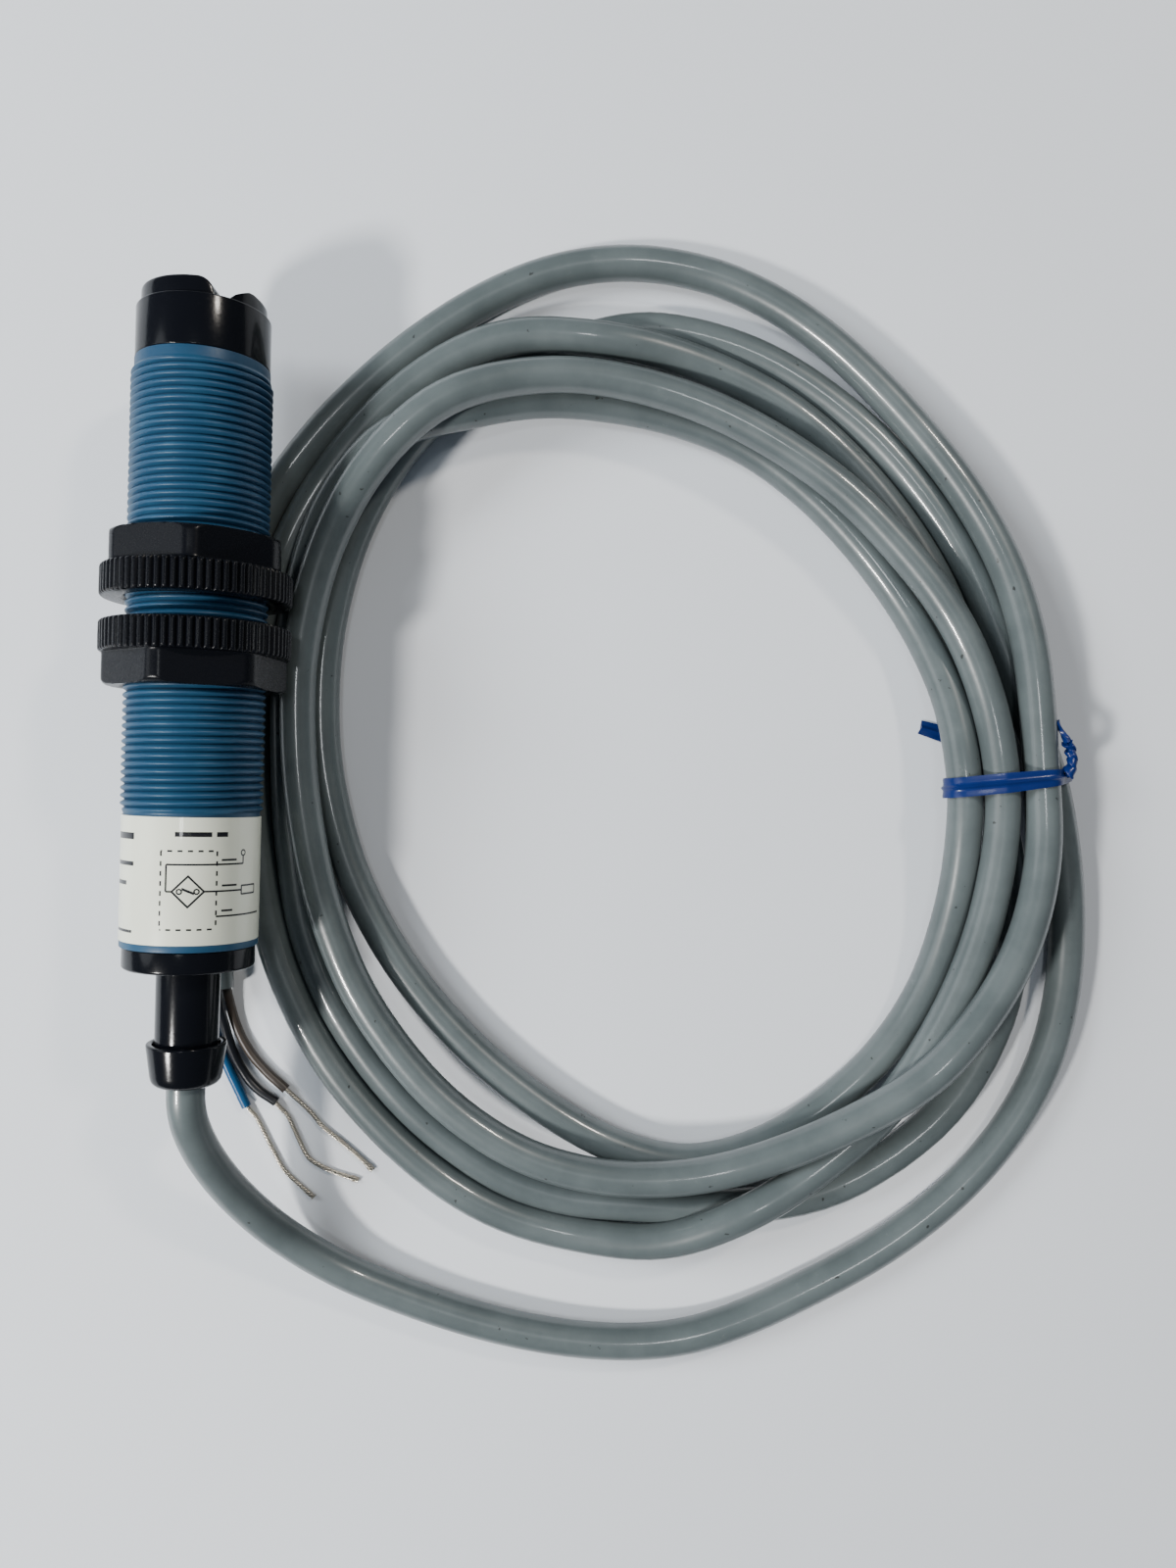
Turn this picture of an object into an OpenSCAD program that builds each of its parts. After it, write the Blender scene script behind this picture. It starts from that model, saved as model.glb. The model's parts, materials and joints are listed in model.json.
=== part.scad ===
// Tubular photoelectric proximity sensor, M18 x 1, with its two lock nuts
// and its cable wound into an oval coil.
// The sensor's axis is Y, its head looks along +Y, and its axis is the origin's height.

/* [Barrel] */
// Outer diameter of the barrel's thread
thread_d = 18; // [15:0.5:24]
// Distance from one thread crest to the next
thread_pitch = 1; // [0.75:0.25:1.5]
// Depth of the thread groove
thread_depth = 0.5; // [0.3:0.05:0.7]
// Length of the barrel that carries the thread
thread_len = 58; // [48:1:70]
// Length of the smooth band in front of the thread
band_len = 1.2; // [0.6:0.1:3]
// How far the smooth rear part lies below the thread's crests
rear_step = 0.4; // [0.3:0.05:0.8]
// Wall of the barrel at its smooth rear part
barrel_wall = 1.3; // [0.9:0.1:1.8]
// Length of the blue ring behind the label
end_ring_len = 0.9; // [0.6:0.1:2]

/* [Front cap] */
// How far the front cap lies below the thread's crests
cap_step = 0.45; // [0.3:0.05:0.8]
// Length of the front cap up to its shoulder
cap_len = 6.7; // [5:0.1:10]
// Width of the shoulder round the raised bezel
shoulder_w = 0.6; // [0.4:0.1:1.2]
// Height of the raised lens bezel above the shoulder
bezel_h = 2.3; // [1.8:0.1:4]
// Thickness of the front cap at its shoulder
cap_floor = 2.4; // [1.6:0.1:3]
// Width of the notch across the bezel
notch_w = 2.2; // [1.8:0.1:4]
// Width of the fin beyond the notch
fin_w = 2.25; // [1.8:0.05:3]
// Wall of the bezel outside the receiver lens
lens_rim = 1.35; // [0.8:0.05:2]
// Wall of the bezel between the receiver lens and the notch
lens_wall = 1.7; // [0.6:0.1:2.4]
// Diameter of the emitter lens
emitter_lens_d = 2; // [1.6:0.1:3]
// Length of the front cap's plug inside the barrel
cap_plug_len = 5; // [3:0.5:8]

/* [Nuts] */
// Width of the nut's rim from the thread to the knurl
flange_rim = 3.2; // [2.4:0.1:5]
// Thickness of the knurled flange
flange_t = 4.1; // [3:0.1:6]
// Wall of the hexagon at its flats
hex_wall = 1.45; // [1.2:0.05:3]
// How far the rounded corners stand out from the flats
hex_corner = 1.25; // [0.3:0.05:1.4]
// Thickness of the hexagon
hex_t = 4.3; // [3:0.1:6]
// Number of knurl teeth round the flange
knurl_count = 72; // [24:4:96]
// Depth of the knurl
knurl_depth = 0.35; // [0.2:0.05:0.6]
// Radial clearance of the nut on the thread crests
nut_clear = 0.05; // [0.03:0.01:0.1]
// Gap between the two knurled flanges, for the panel
panel_gap = 3.1; // [1:0.1:8]
// Where the gap's middle lies, behind the front cap's seat
gap_back = 32.8; // [24:0.1:34]

/* [Rear end] */
// Length of the label
label_len = 16.2; // [12:0.1:20]
// Thickness of the label
label_t = 0.15; // [0.1:0.05:0.3]
// Length of the rear cap that shows
rear_cap_len = 2.9; // [1.5:0.1:4]
// Depth of the rear cap inside the barrel
rear_cap_plug = 4; // [3:0.1:8]
// Wall of the strain relief tube
relief_wall = 1.55; // [1:0.05:2.2]
// Length of the strain relief tube that shows
relief_len = 11.3; // [8:0.1:15]
// Wall of the relief collar at its lip
collar_lip = 0.9; // [0.6:0.1:2]
// Wall of the relief collar at its end
collar_wall = 2.05; // [1.4:0.05:3]
// Length of the relief collar
collar_len = 4.4; // [3:0.1:8]
// Depth of the collar's open cup
collar_cup = 1.2; // [0.8:0.1:2]

/* [Inside] */
// Wall of the shield sleeve
shield_t = 0.3; // [0.2:0.05:0.5]
// Length of the shield sleeve
shield_len = 22; // [16:1:30]
// Gap between the main board's edges and the shield sleeve
board_gap = 0.5; // [0.3:0.1:1]
// Thickness of both boards
board_t = 1; // [0.8:0.1:1.6]
// Room for the leads behind the main board
lead_room = 6.5; // [4:0.5:10]
// Section of the round seal rings
seal_w = 0.7; // [0.5:0.1:0.9]
// Length of the potting plug
plug_len = 3; // [2:0.5:6]

/* [Cable] */
// Diameter of the cable
cable_d = 5; // [4:0.1:6]
// Diameter of an insulated conductor
wire_d = 1.4; // [1:0.1:1.6]
// Diameter of a bare strand bundle
strand_d = 0.6; // [0.5:0.1:0.9]
// Gap between the nuts' flanges and the cable that they lie on
rest_gap = 0.3; // [0.3:0.1:1]
// Width of the twist tie's ribbon
tie_w = 2.8; // [2:0.1:4]
// Thickness of the twist tie's ribbon
tie_t = 0.5; // [0.4:0.1:1]

/* [Hidden] */
$fn = 64;

// Diameters that follow from the thread
slip = 0.05;
slot_clear = 0.2;
rear_d = thread_d - 2 * rear_step;
barrel_bore = rear_d - 2 * barrel_wall;
cap_d = thread_d - 2 * cap_step;
bezel_d = cap_d - 2 * shoulder_w;
flange_d = thread_d + 2 * flange_rim;
hex_af = thread_d + 2 * hex_wall;
hex_corner_d = hex_af + 2 * hex_corner;
nut_bore_d = thread_d + 2 * nut_clear;
rear_cap_d = rear_d - 0.4;
plug_d = barrel_bore - 2 * slip;

// Half widths of a thread ridge at its root and its crest, as shares of the pitch
root_half = 0.42;
crest_half = 0.1;

// Places along the axis, the middle of the whole sensor at zero
label_gap = 0.2;
barrel_len = band_len + thread_len + label_gap + label_len + end_ring_len;
sensor_len = bezel_h + cap_len + barrel_len + rear_cap_len + relief_len + collar_len;
head_y = sensor_len / 2;
shoulder_y = head_y - bezel_h;
seat_y = shoulder_y - cap_len;
thread_top_y = seat_y - band_len;
thread_end_y = thread_top_y - thread_len;
label_y = thread_end_y - label_gap;
barrel_end_y = seat_y - barrel_len;
cap_end_y = barrel_end_y - rear_cap_len;
relief_end_y = cap_end_y - relief_len;
collar_end_y = relief_end_y - collar_len;
gap_y = seat_y - gap_back;

// The lenses, and what holds the emitter and the receiver behind them
notch_x = bezel_d / 2 - fin_w - notch_w / 2;
notch_left = notch_x - notch_w / 2;
notch_right = notch_x + notch_w / 2;
lens_d = bezel_d / 2 - lens_rim + notch_left - lens_wall;
lens_x = lens_rim - bezel_d / 2 + lens_d / 2;
lens_dome = 1;
emitter_dome = 0.7;
seal_cut = seal_w + slip;
plug_wall = 0.6;
cap_inner_d = plug_d - 2 * (seal_cut + plug_wall);
optics_d = cap_inner_d - 2 * slot_clear;
optics_len = 8;
optics_y = seat_y + 1 - optics_len;
lens_seat = 1.4;
aperture_d = lens_d - 2 * lens_seat;
led_d = 1.8;
led_hole_d = led_d + 2 * slip;
photodiode_w = (aperture_d - 2 * slot_clear) / sqrt(2);
photodiode_t = 1.2;

// The boards, and the top face that carries the chips
optics_board_y = optics_y - board_t;
shield_d = barrel_bore - 2 * slot_clear;
shield_inner_d = shield_d - 2 * shield_t;
shield_gap = 1.2;
board_w = 2 * sqrt(pow(shield_inner_d / 2, 2) - pow(board_t / 2, 2)) - 2 * board_gap;
board_joint = 0.6;
board_front_y = optics_board_y - board_joint;
plug_y = barrel_end_y + rear_cap_plug + slot_clear;
board_len = board_front_y - plug_y - plug_len - lead_room;
board_z = -board_t / 2;
part_z = board_z + board_t;
lead_pitch = 1.7;

// The strain relief round the cable
relief_bore_d = cable_d + 2 * slip;
relief_d = relief_bore_d + 2 * relief_wall;
cup_d = relief_d + 2 * slot_clear;
collar_d = cup_d + 2 * collar_lip;
collar_end_d = relief_bore_d + 2 * collar_wall;
jacket_end_y = plug_y - 1;
collar_nose = 1.2;

// The surface that everything lies on, and the height of each layer of cable
floor_z = -flange_d / 2 - rest_gap - cable_d;
first_layer_z = floor_z + cable_d / 2;
first_top_z = floor_z + cable_d;
second_top_z = floor_z + 2 * cable_d;

// The coil's oval, its middle, half lengths and the turn of its long axis
coil_x = 60.5;
coil_y = -9.3;
coil_long = 60;
coil_short = 44.5;
coil_turn = 122;
coil_steps = 48;
// How far each edge of the coil lies outside the oval, at every eighth of a turn
coil_inner_lanes = [-3.5, -3, -4, -3, -3.5, -3, -2.5, -7.5];
coil_outer_lanes = [14.5, 15.5, 14.5, 9.8, 12, 20, 16, 11];
coil_top_lanes = [11, 9, 6, 3, 5, 10, 10, 9];
// Where the second layer may begin beside the nuts
nut_side_x = sqrt(pow(flange_d / 2 + rest_gap, 2) - pow(second_top_z, 2)) + 0.2;

// The cable's way from the collar to the coil: x, y, z
exit_route = [
    [0, collar_end_y, 0], [0, -55, -0.2], [0.4, -58.5, -1.2], [1.7, -63.5, -3.8], [4.6, -70, -8],
    [9.5, -76.5, -12], [17.5, -82.5, -14.4], [27.5, -86.5, first_layer_z], [39, -90, first_layer_z],
    [50, -92, first_layer_z], [60.5, -92.5, first_layer_z], [69, -91.5, first_layer_z],
    [77, -88.5, first_layer_z], [85, -84.5, first_layer_z], [96, -78.5, first_layer_z],
    [104.5, -72, first_layer_z], [111.5, -65, first_layer_z], [117, -57, first_layer_z],
    [121, -48.5, first_layer_z], [123, -38, first_layer_z], [123, -27, first_layer_z]
];
// The cable's way from the coil over the top and under the barrel to its cut end
tail_route = [
    [115, 9, -11], [113.3, 17, -11.4], [110, 25, -11.8], [105, 33, -12.2], [98.8, 41, -12.7],
    [92, 48.5, -13.2], [85, 55, -13.7], [77, 60.4, -14.2], [68, 64.3, -14.7],
    [57, 66, first_layer_z], [46, 64.4, first_layer_z], [36, 60, first_layer_z],
    [26.5, 53.6, first_layer_z], [18, 46, first_layer_z], [11, 38, first_layer_z],
    [5, 28.5, first_layer_z], [1, 18, first_layer_z], [-1.2, 7, first_layer_z],
    [-2, -5, first_layer_z], [-2.1, -17, first_layer_z], [-2, -29.5, first_layer_z],
    [-1.1, -42, first_layer_z]
];
wire_z = floor_z + wire_d / 2;
strand_z = floor_z + strand_d / 2;
black_route = [
    [-1, -41, -14.2], [-0.6, -44.5, -14.9], [0.1, -47.8, -15.7], [1, -51.2, -16.3],
    [2.4, -54.2, -16.7], [4.5, -56.9, wire_z], [7.6, -59, wire_z]
];
brown_route = [
    [-0.1, -41, -15.6], [0.5, -44.5, -16.4], [1.5, -48, wire_z], [3.2, -51.2, wire_z],
    [5.6, -54.1, wire_z], [9, -57.1, wire_z]
];
blue_route = [
    [-2, -41, -15.6], [-1.9, -44.5, -16.4], [-1.6, -48, wire_z], [-0.9, -51, wire_z],
    [0.4, -54.2, wire_z], [1.9, -57.2, wire_z], [3.2, -59.8, wire_z]
];
black_strands = [
    [7.6, -59, wire_z], [9.3, -61.2, strand_z], [10.5, -63.6, strand_z], [11.8, -66.2, strand_z],
    [12.9, -67.6, strand_z], [15.6, -69, strand_z], [19.9, -70.4, strand_z]
];
brown_strands = [
    [9, -57.1, wire_z], [11, -59, strand_z], [12.9, -60.8, strand_z], [14.5, -62.6, strand_z],
    [17.2, -64.7, strand_z], [19.7, -66.7, strand_z], [22, -68.8, strand_z]
];
blue_strands = [
    [3.2, -59.8, wire_z], [4.7, -61.6, strand_z], [5.8, -63.6, strand_z], [7.3, -66.4, strand_z],
    [9.2, -69.4, strand_z], [13.4, -73.1, strand_z]
];

// The twist tie's place and the half section of the coil that it holds
tie_y = -9;
tie_section = [
    [104.6, floor_z + tie_t], [122.4, floor_z + tie_t], [122.4, first_top_z],
    [119, second_top_z], [104.6, second_top_z]
];
tie_tail_len = 7;
tie_tail_gap = 4.4;
knot_r = 1.3;
knot_len = 6;

barrel_blue = [0.1, 0.3, 0.48];
gloss_black = [0.1, 0.1, 0.12];
nut_black = [0.06, 0.06, 0.06];
cable_grey = [0.48, 0.51, 0.52];
tinned = [0.75, 0.73, 0.68];
board_green = [0.1, 0.35, 0.18];

// Turns a shape that stands on Z so that it lies along Y from the given place
module lie(y) translate([0, y, 0]) rotate([-90, 0, 0]) children();

// A ring about the Y axis
module ring(y, length, outer_d, inner_d) {
    lie(y) difference() {
        cylinder(d = outer_d, h = length);
        translate([0, 0, -1]) cylinder(d = inner_d, h = length + 2);
    }
}

// A seal ring of round section about the Y axis
module seal_ring(y) {
    lie(y) rotate_extrude() translate([plug_d / 2 - seal_w / 2, 0]) circle(d = seal_w, $fn = 24);
}

// The groove that a seal ring sits in, cut into a plug
module seal_groove(y) {
    lie(y) rotate_extrude()
        translate([plug_d / 2 - seal_cut, -seal_w / 2 - slip]) square([seal_cut + 1, seal_w + 2 * slip]);
}

function thread_points() = [
    for (i = [0 : floor(thread_len / thread_pitch) - 1])
        let (y = i * thread_pitch)
            each [
                [thread_d / 2 - thread_depth, y + (0.5 - root_half) * thread_pitch],
                [thread_d / 2, y + (0.5 - crest_half) * thread_pitch],
                [thread_d / 2, y + (0.5 + crest_half) * thread_pitch],
                [thread_d / 2 - thread_depth, y + (0.5 + root_half) * thread_pitch]
            ]
];

module barrel() {
    color(barrel_blue) lie(barrel_end_y) difference() {
        union() {
            cylinder(d = rear_d, h = barrel_len);
            translate([0, 0, thread_end_y - barrel_end_y]) rotate_extrude() polygon(concat(
                [[rear_d / 2 - 1, 0]], thread_points(), [[rear_d / 2 - 1, thread_len]]
            ));
            cylinder(d = rear_d + 2 * label_t, h = label_y - label_len - barrel_end_y);
        }
        translate([0, 0, -1]) cylinder(d = barrel_bore, h = barrel_len + 2);
    }
}

module label() {
    color([0.86, 0.86, 0.78])
        ring(label_y - label_len, label_len, rear_d + 2 * slip + 2 * label_t, rear_d + 2 * slip);
}

module front_cap() {
    edge = 0.4;
    color(gloss_black) difference() {
        union() {
            lie(seat_y) cylinder(d = cap_d, h = cap_len - edge);
            lie(shoulder_y - edge) cylinder(d1 = cap_d, d2 = cap_d - 2 * edge, h = edge);
            lie(seat_y - cap_plug_len) cylinder(d = plug_d, h = cap_plug_len + 1);
            bezel(edge);
        }
        lie(seat_y - cap_plug_len - 1) cylinder(d = cap_inner_d, h = cap_plug_len + 1 + cap_len - cap_floor);
        translate([lens_x, 0, 0]) lie(seat_y) cylinder(d = lens_d + 2 * slip, h = cap_len + bezel_h + 1);
        translate([notch_x, 0, 0]) lie(seat_y)
            cylinder(d = emitter_lens_d + 2 * slip, h = cap_len + bezel_h + 1);
        seal_groove(seat_y - cap_plug_len / 2);
    }
}

// The raised bezel, with a rounded lobe on one side of the notch and a fin on the other
module bezel(sink) {
    lie(shoulder_y - sink) intersection() {
        cylinder(d = bezel_d, h = bezel_h + sink);
        rotate([90, 0, 0]) linear_extrude(bezel_d, center = true) bezel_outline(bezel_h + sink);
    }
}

module bezel_outline(top) {
    half = bezel_d / 2;
    lobe_r = 1.9;
    translate([-half, 0]) square([half + notch_left - lobe_r, top]);
    translate([notch_left - lobe_r, top - lobe_r]) circle(r = lobe_r);
    translate([-half, 0]) square([half + notch_left, top - lobe_r]);
    polygon([
        [notch_right - 0.6, 0], [half, 0], [half, top - 0.5], [half - 1, top - 0.3], [notch_right, 0.9]
    ]);
}

module lens_shape(d, length, dome) {
    sphere_r = (pow(d / 2, 2) + pow(dome, 2)) / (2 * dome);
    cylinder(d = d, h = length - dome);
    translate([0, 0, length - dome]) intersection() {
        cylinder(d = d, h = dome);
        translate([0, 0, dome - sphere_r]) sphere(r = sphere_r);
    }
}

module receiver_lens() {
    color([0.5, 0.12, 0.12]) translate([lens_x, 0, 0])
        lie(shoulder_y - cap_floor) lens_shape(lens_d, cap_floor + 1.4, lens_dome);
}

module emitter_lens() {
    color([0.75, 0.75, 0.7]) translate([notch_x, 0, 0])
        lie(shoulder_y - cap_floor) lens_shape(emitter_lens_d, cap_floor + 1.1, emitter_dome);
}

module front_seal() {
    color("black") seal_ring(seat_y - cap_plug_len / 2);
}

module optics_block() {
    color([0.15, 0.15, 0.16]) difference() {
        lie(optics_y) cylinder(d = optics_d, h = optics_len);
        translate([lens_x, 0, 0]) lie(optics_y - 1) cylinder(d = aperture_d, h = optics_len + 2);
        translate([notch_x, 0, 0]) lie(optics_y - 1) cylinder(d = led_hole_d, h = optics_len + 2);
    }
}

module emitter_led() {
    body_len = 2.4;
    color([0.8, 0.2, 0.2]) translate([notch_x, 0, 0]) lie(optics_y) {
        cylinder(d = led_d, h = body_len);
        translate([0, 0, body_len]) sphere(d = led_d);
    }
}

module receiver_photodiode() {
    color([0.2, 0.2, 0.3]) translate([lens_x - photodiode_w / 2, optics_y, -photodiode_w / 2])
        cube([photodiode_w, photodiode_t, photodiode_w]);
}

module optics_board() {
    color(board_green) lie(optics_board_y) intersection() {
        cylinder(d = shield_inner_d, h = board_t);
        translate([0, 0, board_t / 2]) cube([barrel_bore, barrel_bore - 3, board_t], center = true);
    }
}

module shield_sleeve() {
    color([0.75, 0.75, 0.72])
        ring(optics_board_y - shield_gap - shield_len, shield_len, shield_d, shield_inner_d);
}

module main_board() {
    color(board_green) translate([-board_w / 2, board_front_y - board_len, board_z])
        cube([board_w, board_len, board_t]);
}

// Pins that solder the optics board to the main board's end
module board_pins() {
    pin_w = 0.5;
    pitch = 2.54;
    color(tinned) for (i = [-1.5 : 1.5]) translate([i * pitch - pin_w / 2, board_front_y - 2, part_z])
        cube([pin_w, optics_board_y - board_front_y + 2, pin_w]);
}

// A chip on the main board, placed by its distance from the board's front end
module chip(x, back, w, l, h) {
    translate([x - w / 2, board_front_y - back - l, part_z]) cube([w, l, h]);
}

module detector_chip() {
    color([0.1, 0.1, 0.1]) chip(0, 8, 5, 5, 1.2);
}

module output_switch() {
    color([0.12, 0.12, 0.12]) chip(0, 28, 6.5, 3.5, 1.7);
}

module suppressor_diode() {
    color([0.14, 0.14, 0.14]) chip(-2.4, 34, 2.6, 4.3, 2);
}

module reservoir_capacitor() {
    color([0.2, 0.25, 0.5]) translate([2.2, board_front_y - 36, part_z]) cylinder(d = 4, h = 3.4);
}

// Evenly spaced small chips in a row across the board
module chip_row(count, pitch, back, w, l, h) {
    for (i = [0 : count - 1]) chip((i - (count - 1) / 2) * pitch, back, w, l, h);
}

module chip_resistors() {
    color([0.08, 0.08, 0.08]) chip_row(5, 1.7, 16, 0.8, 1.6, 0.5);
}

module chip_capacitors() {
    color([0.6, 0.5, 0.35]) chip_row(4, 2.1, 21.5, 1.2, 2, 0.9);
}

module rear_cap() {
    color(gloss_black) difference() {
        union() {
            lie(cap_end_y + 0.5) cylinder(d = rear_cap_d, h = rear_cap_len - 0.5);
            lie(cap_end_y) cylinder(d1 = rear_cap_d - 1, d2 = rear_cap_d, h = 0.5);
            lie(barrel_end_y - 0.1) cylinder(d = plug_d, h = rear_cap_plug + 0.1);
        }
        lie(cap_end_y - 1) cylinder(d = relief_d + 2 * slip, h = rear_cap_len + rear_cap_plug + 2);
        seal_groove(barrel_end_y + rear_cap_plug / 2);
    }
}

module rear_seal() {
    color("black") seal_ring(barrel_end_y + rear_cap_plug / 2);
}

module potting_plug() {
    color([0.3, 0.22, 0.1]) difference() {
        lie(plug_y) cylinder(d = barrel_bore - 2 * slot_clear, h = plug_len);
        for (i = [-1 : 1]) translate([i * lead_pitch, 0, 0]) lie(plug_y - 1)
            cylinder(d = wire_d + 2 * slip, h = plug_len + 2);
    }
}

module strain_relief() {
    color(gloss_black) ring(relief_end_y, relief_len + rear_cap_len + rear_cap_plug, relief_d, relief_bore_d);
}

module relief_collar() {
    color(gloss_black) lie(collar_end_y) difference() {
        union() {
            translate([0, 0, collar_nose])
                cylinder(d1 = collar_end_d, d2 = collar_d, h = collar_len + collar_cup - collar_nose);
            cylinder(d1 = collar_end_d - 1.5 * collar_nose, d2 = collar_end_d, h = collar_nose);
        }
        translate([0, 0, -1]) cylinder(d = relief_bore_d, h = collar_len + 2);
        translate([0, 0, collar_len]) cylinder(d = relief_d + 2 * slot_clear, h = collar_cup + 1);
    }
}

// The cable's jacket inside the strain relief, where the leads come out of it
module jacket_end() {
    color(cable_grey) lie(collar_end_y) cylinder(d = cable_d, h = jacket_end_y - collar_end_y);
}

// A lead from the jacket's end to the tail of the main board
module lead(x, insulation) {
    color(insulation) translate([x, 0, 0]) lie(jacket_end_y)
        cylinder(d = wire_d, h = board_front_y - board_len - jacket_end_y);
}

module lead_brown() lead(-lead_pitch, [0.35, 0.2, 0.1]);

module lead_black() lead(0, [0.08, 0.08, 0.08]);

module lead_blue() lead(lead_pitch, [0.1, 0.35, 0.65]);

function knurl_points() = [
    for (i = [0 : knurl_count - 1])
        let (step = 360 / knurl_count, a = i * step, r = flange_d / 2)
            each [
                r * [cos(a - 0.22 * step), sin(a - 0.22 * step)],
                r * [cos(a + 0.22 * step), sin(a + 0.22 * step)],
                (r - knurl_depth) * [cos(a + 0.5 * step), sin(a + 0.5 * step)]
            ]
];

// A round blank with both edges chamfered, standing on Z
module blank(d, h, bottom, top) {
    rotate_extrude() polygon([
        [0, 0], [d / 2 - bottom, 0], [d / 2, bottom], [d / 2, h - top], [d / 2 - top, h], [0, h]
    ]);
}

// A nut on the Y axis: its flange starts at the given place and its hexagon is beyond it
module nut(y, direction, turn) {
    knurl_edge = 0.4;
    hex_edge = 0.9;
    color(nut_black) translate([0, y, 0]) rotate([-90 * direction, 0, 0]) difference() {
        union() {
            intersection() {
                linear_extrude(flange_t) polygon(knurl_points());
                blank(flange_d, flange_t, knurl_edge, knurl_edge);
            }
            intersection() {
                rotate(turn) cylinder(d = hex_af / cos(30), h = flange_t + hex_t, $fn = 6);
                blank(hex_corner_d, flange_t + hex_t, 0, hex_edge);
            }
        }
        translate([0, 0, -1]) cylinder(d = nut_bore_d, h = flange_t + hex_t + 2);
    }
}

module front_nut() nut(gap_y + panel_gap / 2, 1, 44);

module rear_nut() nut(gap_y - panel_gap / 2, -1, 37);

// A direction from a to b, one long
function heading(a, b) = (b - a) / norm(b - a);

function route_heading(route, i) = heading(route[max(i - 1, 0)], route[min(i + 1, len(route) - 1)]);

// A point between two route points on a smooth curve through the whole route
function curve_point(route, i, t) =
    let (n = len(route) - 1,
        a = route[max(i - 1, 0)], b = route[i], c = route[min(i + 1, n)], d = route[min(i + 2, n)])
        0.5 * (2 * b + (c - a) * t + (2 * a - 5 * b + 4 * c - d) * pow(t, 2)
            + (3 * b - 3 * c + d - a) * pow(t, 3));

function tube_ring(centre, direction, r, sides) =
    let (side = heading([0, 0, 0], cross(direction, [0, 0, 1])), up = cross(side, direction))
        [for (k = [0 : sides - 1])
            centre + r * (cos(360 * k / sides) * side + sin(360 * k / sides) * up)];

// A closed round tube along a route
module tube(route, d, sides, per_span = 1) {
    path = [
        for (i = [0 : len(route) - 2]) for (k = [0 : per_span - 1]) curve_point(route, i, k / per_span),
        route[len(route) - 1]
    ];
    last = len(path) - 1;
    points = [for (i = [0 : last]) each tube_ring(path[i], route_heading(path, i), d / 2, sides)];
    walls = [
        for (i = [0 : last - 1]) for (k = [0 : sides - 1])
            let (a = i * sides + k, b = i * sides + (k + 1) % sides)
                [a, b, b + sides, a + sides]
    ];
    start = [for (k = [sides - 1 : -1 : 0]) k];
    end = [for (k = [0 : sides - 1]) last * sides + k];
    polyhedron(points, concat([start], walls, [end]), convexity = 8);
}

module cable_exit() {
    color(cable_grey) tube(exit_route, cable_d, 10);
}

module cable_tail() {
    color(cable_grey) tube(tail_route, cable_d, 10);
}

// The oval's radius in a direction, and a lane value between the eighths of a turn
function oval(a) = let (c = cos(a - coil_turn), s = sin(a - coil_turn))
    coil_long * coil_short / sqrt(pow(coil_short * c, 2) + pow(coil_long * s, 2));

function lane(lanes, a) =
    let (i = floor(a / 45), t = (1 - cos(180 * (a / 45 - i))) / 2)
        lanes[i % 8] * (1 - t) + lanes[(i + 1) % 8] * t;

function coil_outline(lanes) = [
    for (k = [0 : coil_steps - 1])
        let (a = 360 * k / coil_steps, r = oval(a) + lane(lanes, a))
            [coil_x + r * cos(a), coil_y + r * sin(a)]
];

module coil_ring(z, height, outer_lanes) {
    translate([0, 0, z]) linear_extrude(height) difference() {
        polygon(coil_outline(outer_lanes));
        polygon(coil_outline(coil_inner_lanes));
    }
}

module cable_coil() {
    color(cable_grey) difference() {
        union() {
            coil_ring(floor_z, cable_d, coil_outer_lanes);
            coil_ring(first_top_z - 0.5, cable_d + 0.5, coil_top_lanes);
        }
        translate([nut_side_x - 100, -100, first_top_z]) cube([100, 200, 2 * cable_d]);
        tie_band();
        tie_tail();
    }
}

// The section with every corner moved away from its middle by the ribbon's thickness
function grown_section() =
    let (mid = [(tie_section[0].x + tie_section[1].x) / 2, first_top_z])
        [for (p = tie_section) p + tie_t * [sign(p.x - mid.x), sign(p.y - mid.y)]];

module tie_band() {
    translate([0, tie_y + tie_w / 2, 0]) rotate([90, 0, 0]) linear_extrude(tie_w) difference() {
        polygon(grown_section());
        polygon(tie_section);
    }
}

module tie_tail() {
    translate([tie_section[0].x - 4, tie_y + tie_w / 2 + tie_tail_gap, floor_z])
        cube([tie_tail_len, tie_w, tie_t]);
}

module coil_tie() {
    color([0.05, 0.2, 0.55]) {
        tie_band();
        tie_tail();
        translate([tie_section[3].x + 2, tie_y - 1, first_top_z + knot_r + 0.1]) lie(0)
            cylinder(r = knot_r, h = knot_len);
    }
}

module wire_brown() color([0.35, 0.22, 0.15]) tube(brown_route, wire_d, 8);

module wire_black() color([0.1, 0.1, 0.1]) tube(black_route, wire_d, 8);

module wire_blue() color([0.1, 0.35, 0.6]) tube(blue_route, wire_d, 8);

module strands_brown() color(tinned) tube(brown_strands, strand_d, 8);

module strands_black() color(tinned) tube(black_strands, strand_d, 8);

module strands_blue() color(tinned) tube(blue_strands, strand_d, 8);

barrel();
front_cap();
receiver_lens();
emitter_lens();
front_seal();
optics_block();
emitter_led();
receiver_photodiode();
optics_board();
shield_sleeve();
main_board();
board_pins();
detector_chip();
output_switch();
suppressor_diode();
reservoir_capacitor();
chip_resistors();
chip_capacitors();
label();
rear_cap();
rear_seal();
potting_plug();
strain_relief();
relief_collar();
jacket_end();
lead_brown();
lead_black();
lead_blue();
front_nut();
rear_nut();
cable_exit();
cable_coil();
cable_tail();
wire_brown();
wire_black();
wire_blue();
strands_brown();
strands_black();
strands_blue();
coil_tie();
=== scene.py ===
import json
import math

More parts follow.
